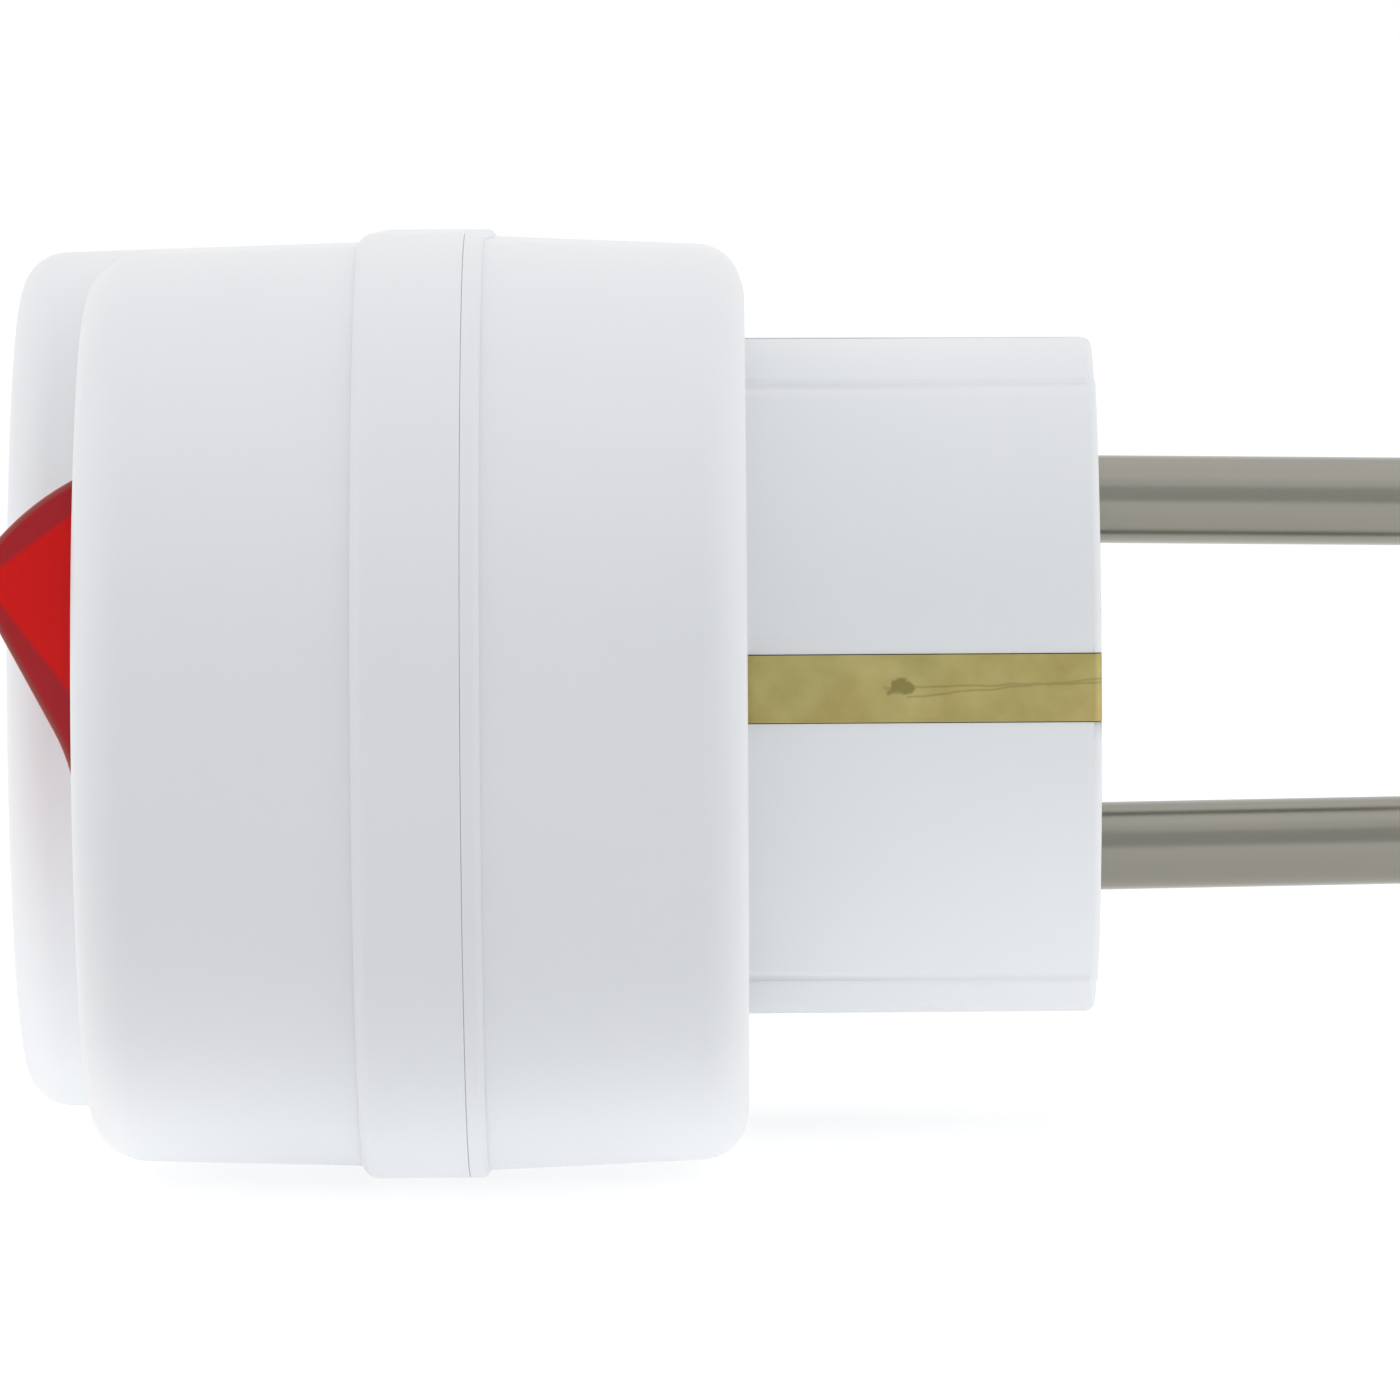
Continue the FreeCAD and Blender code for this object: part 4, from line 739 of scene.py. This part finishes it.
@dataclass
class PlugContacts:
    """Pins, earth strips, clips and sleeves: the metal that a plug or socket touches."""

    strip_edge_mm: float = 0.05
    pin_edge_mm: float = 0.1

    def build(self, palette: Palette) -> None:
        """Build the pins, the stamped strips and the sleeves.

        Args:
            palette: the materials.
        """
        for node in ("plug_pin_upper", "plug_pin_lower"):
            DressedCopy(node, Slot.PIN, self.pin_edge_mm).build(palette)
        for side in ("near", "far"):
            DressedCopy("earth_strip_" + side, Slot.EARTH, self.strip_edge_mm).build(palette)
            DressedCopy("earth_clip_" + side, Slot.EARTH, self.strip_edge_mm).build(palette)
        for place in ("upper", "lower"):
            DressedCopy("socket_sleeve_" + place, Slot.CONTACT, self.strip_edge_mm).build(palette)


def new_tree(name: str, sizes: dict[str, str]) -> tuple[Tree, Any]:
    """Start a tree of Geometry Nodes with named inputs.

    Args:
        name: the tree's name.
        sizes: kind of socket (Float, Int, Vector, Material) by input name.

    Returns:
        The tree, and its inputs by name.
    """
    tree = bpy.data.node_groups.new(name, "GeometryNodeTree")
    tree.interface.new_socket("Geometry", in_out="OUTPUT", socket_type="NodeSocketGeometry")
    for title, kind in sizes.items():
        tree.interface.new_socket(title, in_out="INPUT", socket_type="NodeSocket" + kind)
    return tree, add_node(tree, "NodeGroupInput")


def end_tree(tree: Tree, shape: Socket, given: Any) -> None:
    """Smooth the shape, realize its instances, set its material and end the tree.

    Args:
        tree: the node tree.
        shape: the geometry.
        given: the tree's inputs by name.
    """
    smooth = add_node(tree, "GeometryNodeSetShadeSmooth", (shape,))[0]
    real = add_node(tree, "GeometryNodeRealizeInstances", (smooth,))[0]
    paint = {"Geometry": real, "Material": given["Material"]}
    painted = add_node(tree, "GeometryNodeSetMaterial", paint)[0]
    add_node(tree, "NodeGroupOutput", {"Geometry": painted})


def scaled_across(tree: Tree, shape: Socket, share: Socket) -> Socket:
    """Scale a turned shape across its Z axis by a field.

    Args:
        tree: the node tree.
        shape: the geometry.
        share: the scale at each point.

    Returns:
        The geometry.
    """
    place = add_node(tree, "GeometryNodeInputPosition")[0]
    shares = add_node(tree, "ShaderNodeCombineXYZ", (share, share, 1.0))[0]
    moved = add_node(tree, "ShaderNodeVectorMath", (place, shares), operation="MULTIPLY")[0]
    return add_node(tree, "GeometryNodeSetPosition", {"Geometry": shape, "Position": moved})[0]


def turned_rod(tree: Tree, radius: Socket, length: Socket, steps: Any, sides: int) -> Socket:
    """Turn a rod from the origin up along Z.

    Args:
        tree: the node tree.
        radius: its radius.
        length: its length.
        steps: number of rings along it, as a socket or a number.
        sides: number of faces round it.

    Returns:
        The geometry.
    """
    sizes = {"Radius": radius, "Depth": length, "Vertices": sides, "Side Segments": steps}
    rod = add_node(tree, "GeometryNodeMeshCylinder", sizes, fill_type="NGON")[0]
    half = add_node(tree, "ShaderNodeMath", (length, 0.5), operation="MULTIPLY")[0]
    up = add_node(tree, "ShaderNodeCombineXYZ", {"Z": half})[0]
    return add_node(tree, "GeometryNodeTransform", {"Geometry": rod, "Translation": up})[0]


def turned_head(tree: Tree, given: Any, rings: int = 12, sides: int = 48) -> Socket:
    """Turn a low head with a rounded top edge, from the origin up along Z.

    Args:
        tree: the node tree.
        given: the tree's inputs, among them the head's radius, height and edge.
        rings: number of rings along it.
        sides: number of faces round it.

    Returns:
        The geometry.
    """
    radius, height, edge = (given["Head " + name] for name in ("Radius", "Height", "Edge"))
    rod = turned_rod(tree, radius, height, rings, sides)
    place = add_node(tree, "GeometryNodeInputPosition")[0]
    high = add_node(tree, "ShaderNodeSeparateXYZ", (place,))["Z"]
    foot = add_node(tree, "ShaderNodeMath", (height, edge), operation="SUBTRACT")[0]
    over = add_node(tree, "ShaderNodeMath", (high, foot), operation="SUBTRACT")[0]
    part = add_node(tree, "ShaderNodeMath", (over, edge), operation="DIVIDE", use_clamp=True)[0]
    square = add_node(tree, "ShaderNodeMath", (part, part), operation="MULTIPLY")[0]
    level = add_node(tree, "ShaderNodeMath", (1.0, square), operation="SUBTRACT")[0]
    root = add_node(tree, "ShaderNodeMath", (level,), operation="SQRT")[0]
    drop = add_node(tree, "ShaderNodeMath", (1.0, root), operation="SUBTRACT")[0]
    inward = add_node(tree, "ShaderNodeMath", (edge, drop), operation="MULTIPLY")[0]
    lost = add_node(tree, "ShaderNodeMath", (inward, radius), operation="DIVIDE")[0]
    share = add_node(tree, "ShaderNodeMath", (1.0, lost), operation="SUBTRACT")[0]
    return scaled_across(tree, rod, share)


@dataclass
class Screws:
    """The two cross-head screws that hold the covers together, with rolled threads."""

    head_radius_mm: float = 2.75
    head_height_mm: float = 2.0
    head_edge_mm: float = 0.6
    shank_radius_mm: float = 1.4
    shank_sides: int = 24
    thread_depth_mm: float = 0.26
    pitch_mm: float = 1.2
    rings_per_turn: int = 8
    point_mm: float = 1.5
    point_share: float = 0.35
    cross_mm: tuple[float, float, float] = (3.2, 0.7, 2.0)
    sunk_mm: float = 0.3

    def thread(self, tree: Tree, given: Any) -> Socket:
        """Roll a thread into the shank and bring its end to a point.

        Args:
            tree: the node tree.
            given: the tree's inputs by name.

        Returns:
            The geometry.
        """
        radius, length, pitch = (given[name] for name in ("Shank Radius", "Length", "Pitch"))
        turns = add_node(tree, "ShaderNodeMath", (length, pitch), operation="DIVIDE")[0]
        counts = (turns, self.rings_per_turn)
        rings = add_node(tree, "ShaderNodeMath", counts, operation="MULTIPLY")[0]
        rod = turned_rod(tree, radius, length, rings, self.shank_sides)
        place = add_node(tree, "GeometryNodeInputPosition")[0]
        x, y, z = add_node(tree, "ShaderNodeSeparateXYZ", (place,))
        angle = add_node(tree, "ShaderNodeMath", (y, x), operation="ARCTAN2")[0]
        round_part = add_node(tree, "ShaderNodeMath", (angle, math.tau), operation="DIVIDE")[0]
        risen = add_node(tree, "ShaderNodeMath", (z, pitch), operation="DIVIDE")[0]
        turn = add_node(tree, "ShaderNodeMath", (risen, round_part), operation="SUBTRACT")[0]
        wave = add_node(tree, "ShaderNodeMath", (turn, 0.5), operation="PINGPONG")[0]
        deep = add_node(tree, "ShaderNodeMath", (wave, 2.0), operation="MULTIPLY")[0]
        cut = add_node(tree, "ShaderNodeMath", (deep, given["Depth"]), operation="MULTIPLY")[0]
        lost = add_node(tree, "ShaderNodeMath", (cut, radius), operation="DIVIDE")[0]
        left = add_node(tree, "ShaderNodeMath", (1.0, lost), operation="SUBTRACT")[0]
        point = (z, 0.0, given["Point"], self.point_share, 1.0)
        tip = add_node(tree, "ShaderNodeMapRange", point)[0]
        share = add_node(tree, "ShaderNodeMath", (left, tip), operation="MULTIPLY")[0]
        return scaled_across(tree, rod, share)

    def tree(self) -> Tree:
        """Build the tree that makes one screw, point at the origin and head up.

        Returns:
            The node tree, with its sizes as named inputs.
        """
        names = ("Head Radius", "Head Height", "Head Edge", "Shank Radius", "Length")
        names += ("Pitch", "Depth", "Point", "Sunk")
        kinds = {name: "Float" for name in names}
        kinds |= {"Cross": "Vector", "Cross Turned": "Vector", "Place": "Vector", "Turn": "Vector"}
        tree, given = new_tree("cross_head_screw", kinds | {"Material": "Material"})
        top = add_node(tree, "ShaderNodeCombineXYZ", {"Z": given["Head Height"]})[0]
        bars = []
        for size in (given["Cross"], given["Cross Turned"]):
            bar = add_node(tree, "GeometryNodeMeshCube", {"Size": size})[0]
            move = {"Geometry": bar, "Translation": top}
            bars.append(add_node(tree, "GeometryNodeTransform", move)[0])
        cut = (turned_head(tree, given), bars)
        head = add_node(tree, "GeometryNodeMeshBoolean", cut, operation="DIFFERENCE")[0]
        sunk = (given["Length"], given["Sunk"])
        seat = add_node(tree, "ShaderNodeMath", sunk, operation="SUBTRACT")[0]
        lift = add_node(tree, "ShaderNodeCombineXYZ", {"Z": seat})[0]
        raised = add_node(tree, "GeometryNodeTransform", {"Geometry": head, "Translation": lift})
        parts = {1: [raised[0], self.thread(tree, given)]}
        move = {
            "Geometry": add_node(tree, "GeometryNodeMeshBoolean", parts, operation="UNION")[0],
            "Translation": given["Place"],
            "Rotation": given["Turn"],
        }
        end_tree(tree, add_node(tree, "GeometryNodeTransform", move)[0], given)
        return tree

    def build(self, palette: Palette) -> None:
        """Make each screw in the place of its node, head towards the plug.

        Args:
            palette: the materials.
        """
        tree = self.tree()
        wide, narrow, deep = (size * MM for size in self.cross_mm)
        for node in ("nose_screw", "end_screw"):
            low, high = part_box(node)
            sizes = {
                "Head Radius": self.head_radius_mm * MM,
                "Head Height": self.head_height_mm * MM,
                "Head Edge": self.head_edge_mm * MM,
                "Shank Radius": self.shank_radius_mm * MM,
                "Length": high.x - low.x - (self.head_height_mm - self.sunk_mm) * MM,
                "Pitch": self.pitch_mm * MM,
                "Depth": self.thread_depth_mm * MM,
                "Point": self.point_mm * MM,
                "Sunk": self.sunk_mm * MM,
                "Cross": (wide, narrow, deep),
                "Cross Turned": (narrow, wide, deep),
                "Place": (low.x, (low.y + high.y) / 2, (low.z + high.z) / 2),
                "Turn": (0.0, math.pi / 2, 0.0),
                "Material": palette.material(Slot.SCREW),
            }
            stand_for(node, run_tree(node + "_turned", tree, sizes))


@dataclass
class EarthRivets:
    """The two rivets through strip, yoke and clip, set on the ends of one line."""

    radius_mm: float = 1.0
    sides: int = 32
    head_radius_mm: float = 1.6
    head_height_mm: float = 0.5
    head_edge_mm: float = 0.42

    def tree(self) -> Tree:
        """Build the tree that turns a rivet and sets it on both ends of a line.

        Returns:
            The node tree, with its sizes as named inputs.
        """
        names = ("Radius", "Length", "Head Radius", "Head Height", "Head Edge")
        kinds = {name: "Float" for name in names}
        kinds |= {"First": "Vector", "Last": "Vector", "Turn": "Vector", "Material": "Material"}
        tree, given = new_tree("set_rivet", kinds)
        rod = turned_rod(tree, given["Radius"], given["Length"], 1, self.sides)
        down = add_node(tree, "ShaderNodeMath", (given["Length"], -1.0), operation="MULTIPLY")[0]
        low = add_node(tree, "ShaderNodeCombineXYZ", {"Z": down})[0]
        shank = add_node(tree, "GeometryNodeTransform", {"Geometry": rod, "Translation": low})
        parts = {1: [turned_head(tree, given), shank[0]]}
        rivet = add_node(tree, "GeometryNodeMeshBoolean", parts, operation="UNION")[0]
        move = {"Geometry": rivet, "Rotation": given["Turn"]}
        turned = add_node(tree, "GeometryNodeTransform", move)[0]
        ends = {"Count": 2, "Start Location": given["First"], "Offset": given["Last"]}
        line = add_node(tree, "GeometryNodeMeshLine", ends, mode="END_POINTS")[0]
        both = {"Points": line, "Instance": turned}
        end_tree(tree, add_node(tree, "GeometryNodeInstanceOnPoints", both)[0], given)
        return tree

    def build(self, palette: Palette) -> None:
        """Set both rivets in the place of their node, heads towards the socket.

        Args:
            palette: the materials.
        """
        low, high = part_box("earth_rivets")
        seat = low.x + self.head_height_mm * MM
        reach = high.y - self.head_radius_mm * MM
        sizes = {
            "Radius": self.radius_mm * MM,
            "Length": high.x - seat,
            "Head Radius": self.head_radius_mm * MM,
            "Head Height": self.head_height_mm * MM,
            "Head Edge": self.head_edge_mm * MM,
            "First": (seat, -reach, 0.0),
            "Last": (seat, reach, 0.0),
            "Turn": (0.0, -math.pi / 2, 0.0),
            "Material": palette.material(Slot.CONTACT),
        }
        stand_for("earth_rivets", run_tree("earth_rivets_set", self.tree(), sizes))


@dataclass
class PlungerSprings:
    """The two springs behind the plungers, wound by one tree of Geometry Nodes."""

    turns: float = 7.0
    coil_radius_mm: float = 1.1
    wire_radius_mm: float = 0.2
    steps: int = 24
    wire_steps: int = 10
    tilt_deg: float = 18.3
    travel_mm: float = 0.8

    def tree(self) -> Tree:
        """Build the tree that winds a wire into a spring.

        Returns:
            The node tree, with its sizes as named inputs.
        """
        kinds = {name: "Float" for name in ("Turns", "Coil Radius", "Wire Radius", "Length")}
        kinds |= {"Foot": "Vector", "Tilt": "Vector", "Material": "Material"}
        tree, given = new_tree("wound_spring", kinds)
        coil = {
            "Resolution": self.steps,
            "Rotations": given["Turns"],
            "Start Radius": given["Coil Radius"],
            "End Radius": given["Coil Radius"],
            "Height": given["Length"],
        }
        ring = {"Resolution": self.wire_steps, "Radius": given["Wire Radius"]}
        wire = {
            "Curve": add_node(tree, "GeometryNodeCurveSpiral", coil)[0],
            "Profile Curve": add_node(tree, "GeometryNodeCurvePrimitiveCircle", ring)[0],
            "Fill Caps": True,
        }
        move = {
            "Geometry": add_node(tree, "GeometryNodeCurveToMesh", wire)[0],
            "Translation": given["Foot"],
            "Rotation": given["Tilt"],
        }
        end_tree(tree, add_node(tree, "GeometryNodeTransform", move)[0], given)
        return tree

    def build(self, palette: Palette) -> None:
        """Wind each spring in the place of its node.

        Args:
            palette: the materials.
        """
        tree = self.tree()
        tilt = math.radians(self.tilt_deg)
        for side in ("near", "far"):
            node = "plunger_spring_" + side
            low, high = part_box(node)
            middle = (low + high) / 2
            outer = (self.coil_radius_mm + self.wire_radius_mm) * MM
            length = ((high.x - low.x) - 2 * outer * math.sin(tilt)) / math.cos(tilt)
            axis = Vector((math.cos(tilt), 0.0, math.sin(tilt)))
            sizes = {
                "Turns": self.turns,
                "Coil Radius": self.coil_radius_mm * MM,
                "Wire Radius": self.wire_radius_mm * MM,
                "Length": length - 2 * self.wire_radius_mm * MM,
                "Foot": middle - axis * (length / 2 - self.wire_radius_mm * MM),
                "Tilt": (0.0, math.pi / 2 - tilt, 0.0),
                "Material": palette.material(Slot.SPRING),
            }
            spring = run_tree(node + "_wound", tree, sizes)
            stand_for(node, spring)
            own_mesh(spring)


def run_tree(name: str, tree: Tree, sizes: dict[str, Any]) -> bpy.types.Object:
    """Run a tree of Geometry Nodes and keep its result as a plain mesh.

    Args:
        name: the piece's name.
        tree: the node tree.
        sizes: the tree's inputs by name.

    Returns:
        The piece, without a modifier.
    """
    holder = bpy.data.objects.new(name, bpy.data.meshes.new(name + "_empty"))
    bpy.context.scene.collection.objects.link(holder)
    modifier = holder.modifiers.new("maker", "NODES")
    modifier.node_group = tree
    for item in tree.interface.items_tree:
        if item.in_out == "INPUT" and item.name in sizes:
            modifier[item.identifier] = sizes[item.name]
    depsgraph = bpy.context.evaluated_depsgraph_get()
    plain = bpy.data.meshes.new_from_object(holder.evaluated_get(depsgraph))
    holder.modifiers.clear()
    holder.data = plain
    plain.name = name
    plain.set_sharp_from_angle(angle=math.radians(SHARP_DEG))
    return holder


def stand_for(node: str, piece: bpy.types.Object) -> None:
    """Let a finished piece ride on its node's body and stand for the node.

    Args:
        node: the CAD node.
        piece: the finished piece.
    """
    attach(piece, body_of_node(node))
    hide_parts(node)
    log.info("%s stands for its node, %d faces", piece.name, len(piece.data.polygons))


@dataclass
class InnerParts:
    """Every node that keeps its CAD mesh and takes only its finish."""

    def build(self, palette: Palette) -> None:
        """Paint each node that nothing stands for.

        Args:
            palette: the materials.
        """
        slots = {row["node"]: Slot(row["material_slot"]) for row in frame["record"]["subparts"]}
        for node, piece in frame["nodes"].items():
            if not piece.hide_render:
                palette.paint(piece, slots[node])
                log.info("%s keeps its mesh", node)


def seen_rays(tree: Tree) -> Socket:
    """Add the test for rays that see the white background.

    Args:
        tree: the world's or the floor's node tree.

    Returns:
        1 for camera, glossy and transmission rays, and 0 for others.
    """
    path = add_node(tree, "ShaderNodeLightPath")
    seen, *others = (path[ray.value] for ray in Ray)
    for ray in others:
        seen = add_node(tree, "ShaderNodeMath", (seen, ray), operation="MAXIMUM")[0]
    return seen


@dataclass
class Stage:
    """Pale floor, white surroundings, and grey in front, towards the camera.

    The eye sees the floor at the seen_ levels, and the other levels light the object.
    """

    white: str = "#FFFFFF"
    light_level: float = 0.88
    floor_mm: float = -24.46
    floor_half_mm: float = 6000.0
    floor_albedo: float = 0.84
    seen_albedo: float = 0.42
    seen_glow: float = 0.67
    body_glow: float = 0.47
    boss_glow: float = 0.38
    boss_from_mm: float = -19.0
    boss_soft_mm: float = 4.0
    middle_mm: float = -18.5
    glow_full_mm: float = 30.0
    glow_end_mm: float = 48.0
    grey_from_mm: float = -175.0
    grey_soft_mm: float = 1.0
    grey_albedo: float = 0.68
    cloth_back_mm: float = -900.0
    cloth_half_mm: float = 700.0
    cloth_tone: str = "#E5E6E7"

    def sheet(self, name: str, corners: list[Vector]) -> bpy.types.Object:
        """Make one flat sheet of the stage.

        Args:
            name: the sheet's name.
            corners: its four corners in order.

        Returns:
            The sheet.
        """
        mesh = bpy.data.meshes.new(name)
        mesh.from_pydata([tuple(corner) for corner in corners], [], [(0, 1, 2, 3)])
        made = bpy.data.objects.new(name, mesh)
        bpy.context.scene.collection.objects.link(made)
        return made

    def world(self) -> None:
        """Light the surroundings: white to the eye, plainer to the object."""
        world = bpy.data.worlds.new("light_tent")
        bpy.context.scene.world = world
        world.use_nodes = True
        tree = world.node_tree
        tree.nodes.clear()
        levels = {"Value": seen_rays(tree), "To Min": self.light_level, "To Max": 1.0}
        level = add_node(tree, "ShaderNodeMapRange", levels)[0]
        light = {"Color": srgb(self.white), "Strength": level}
        white = add_node(tree, "ShaderNodeBackground", light)[0]
        add_node(tree, "ShaderNodeOutputWorld", {"Surface": white})

    def floor(self) -> None:
        """Lay the floor, a lit table: white to the eye, with a faint shadow of the object."""
        half, level = self.floor_half_mm * MM, self.floor_mm * MM
        corners = ((-1, -1), (1, -1), (1, 1), (-1, 1))
        made = self.sheet("floor", [Vector((x * half, y * half, level)) for x, y in corners])
        paint = bare_material("matt_white_floor")
        tree = paint.node_tree
        place = add_node(tree, "ShaderNodeTexCoord")["Object"]
        along = add_node(tree, "ShaderNodeSeparateXYZ", (place,))
        step = (self.grey_from_mm * MM, (self.grey_from_mm + self.grey_soft_mm) * MM)
        tones = (along["Y"], *step, self.grey_albedo, self.floor_albedo)
        albedo = add_node(tree, "ShaderNodeMapRange", tones)[0]
        lit = {"Color": srgb(self.white), "Strength": self.glow(tree, along)}
        plain = (
            add_node(tree, "ShaderNodeBsdfDiffuse", {"Color": albedo})[0],
            add_node(tree, "ShaderNodeEmission", lit)[0],
        )
        grey = self.seen_albedo
        bright = {"Color": srgb(self.white), "Strength": self.seen_glow}
        seen = (
            add_node(tree, "ShaderNodeBsdfDiffuse", {"Color": (grey, grey, grey, 1.0)})[0],
            add_node(tree, "ShaderNodeEmission", bright)[0],
        )
        both = (add_node(tree, "ShaderNodeAddShader", pair)[0] for pair in (plain, seen))
        mixed = add_node(tree, "ShaderNodeMixShader", (seen_rays(tree), *both))[0]
        add_node(tree, "ShaderNodeOutputMaterial", {"Surface": mixed})
        made.data.materials.append(paint)

    def glow(self, tree: Tree, along: Any) -> Socket:
        """Light the table from under the object, less where the plug's boss leaves it open.

        Args:
            tree: the floor's node tree.
            along: the coordinates along X, Y and Z.

        Returns:
            The strength of the light.
        """
        off = (along["Y"], self.middle_mm * MM)
        from_middle = add_node(tree, "ShaderNodeMath", off, operation="SUBTRACT")[0]
        off_middle = add_node(tree, "ShaderNodeMath", (from_middle,), operation="ABSOLUTE")[0]
        boss, soft = self.boss_from_mm, self.boss_soft_mm
        steps = [
            add_node(
                tree,
                "ShaderNodeMapRange",
                (value, start * MM, end * MM, *levels),
                interpolation_type="SMOOTHSTEP",
            )[0]
            for value, start, end, levels in (
                (off_middle, self.glow_full_mm, self.glow_end_mm, (1.0, 0.0)),
                (along["X"], boss - soft, boss + soft, (self.body_glow, self.boss_glow)),
            )
        ]
        return add_node(tree, "ShaderNodeMath", tuple(steps), operation="MULTIPLY")[0]

    def cloth(self) -> None:
        """Hang a grey cloth behind the camera."""
        half, back, low = self.cloth_half_mm * MM, self.cloth_back_mm * MM, self.floor_mm * MM
        paint = bare_material("grey_woven_cloth")
        tree = paint.node_tree
        tone = add_node(tree, "ShaderNodeBsdfDiffuse", {"Color": srgb(self.cloth_tone)})[0]
        add_node(tree, "ShaderNodeOutputMaterial", {"Surface": tone})
        corners = ((-1, 0), (1, 0), (1, 1), (-1, 1))
        made = self.sheet(
            "cloth_hanging", [Vector((x * half, back, low + up * half)) for x, up in corners]
        )
        made.visible_camera = False
        made.data.materials.append(paint)

    def build(self) -> None:
        """Build the world, the floor and the cloth."""
        self.world()
        self.floor()
        self.cloth()
        log.info("stage is set")


@dataclass
class SoftLamps:
    """Wide lamps above and beside the object."""

    away_mm: float = 700.0
    front_mm: float = 100.0
    size_mm: float = 900.0
    above_watts: float = 0.4
    left_watts: float = 0.75
    right_watts: float = 0.85

    def build(self) -> None:
        """Hang one lamp above and one at each side."""
        away = self.away_mm
        for name, place, watts in (
            ("lamp_above", Vector((0.0, 0.0, away)), self.above_watts),
            ("lamp_left", Vector((-away, -self.front_mm, away / 2)), self.left_watts),
            ("lamp_right", Vector((away, -self.front_mm, away / 2)), self.right_watts),
        ):
            data = bpy.data.lights.new(name, "AREA")
            data.size = self.size_mm * MM
            data.energy = watts
            lamp = bpy.data.objects.new(name, data)
            lamp.location = place * MM
            lamp.rotation_euler = (-place).to_track_quat("-Z", "Y").to_euler()
            lamp.visible_camera = False
            bpy.context.scene.collection.objects.link(lamp)
        log.info("lamps are hung")


@dataclass
class PhotoCamera:
    """The camera of the photograph, about 0.7 m from the switch's end."""

    place_mm: tuple[float, float, float] = (-21.4, -690.0, 28.0)
    aim_mm: tuple[float, float, float] = (-21.4, 0.0, -1.37)
    lens_mm: float = 324.5
    film_mm: float = 36.0
    sees_m: tuple[float, float] = (0.01, 50.0)
    roll_deg: float = -0.35

    def build(self) -> None:
        """Place and aim the camera."""
        data = bpy.data.cameras.new("photo_camera")
        data.lens = self.lens_mm
        data.sensor_width = self.film_mm
        data.clip_start, data.clip_end = self.sees_m
        camera = bpy.data.objects.new("photo_camera", data)
        bpy.context.scene.collection.objects.link(camera)
        place, aim = Vector(self.place_mm) * MM, Vector(self.aim_mm) * MM
        facing = (aim - place).to_track_quat("-Z", "Y")
        camera.location = place
        camera.rotation_mode = "QUATERNION"
        camera.rotation_quaternion = facing @ Quaternion((0, 0, 1), math.radians(self.roll_deg))
        bpy.context.scene.camera = camera
        log.info("camera is set")


def main() -> None:
    """Build the stage, the camera and each sub-assembly in order."""
    logging.basicConfig(level=logging.INFO, format="%(name)s: %(message)s")
    bpy.context.scene.view_settings.view_transform = "Standard"
    PhotoCamera().build()
    Stage().build()
    SoftLamps().build()
    palette = Palette()
    Covers().build(palette)
    RockerSwitch().build(palette)
    PlugContacts().build(palette)
    Screws().build(palette)
    EarthRivets().build(palette)
    PlungerSprings().build(palette)
    InnerParts().build(palette)


if __name__ == "__main__":
    main()
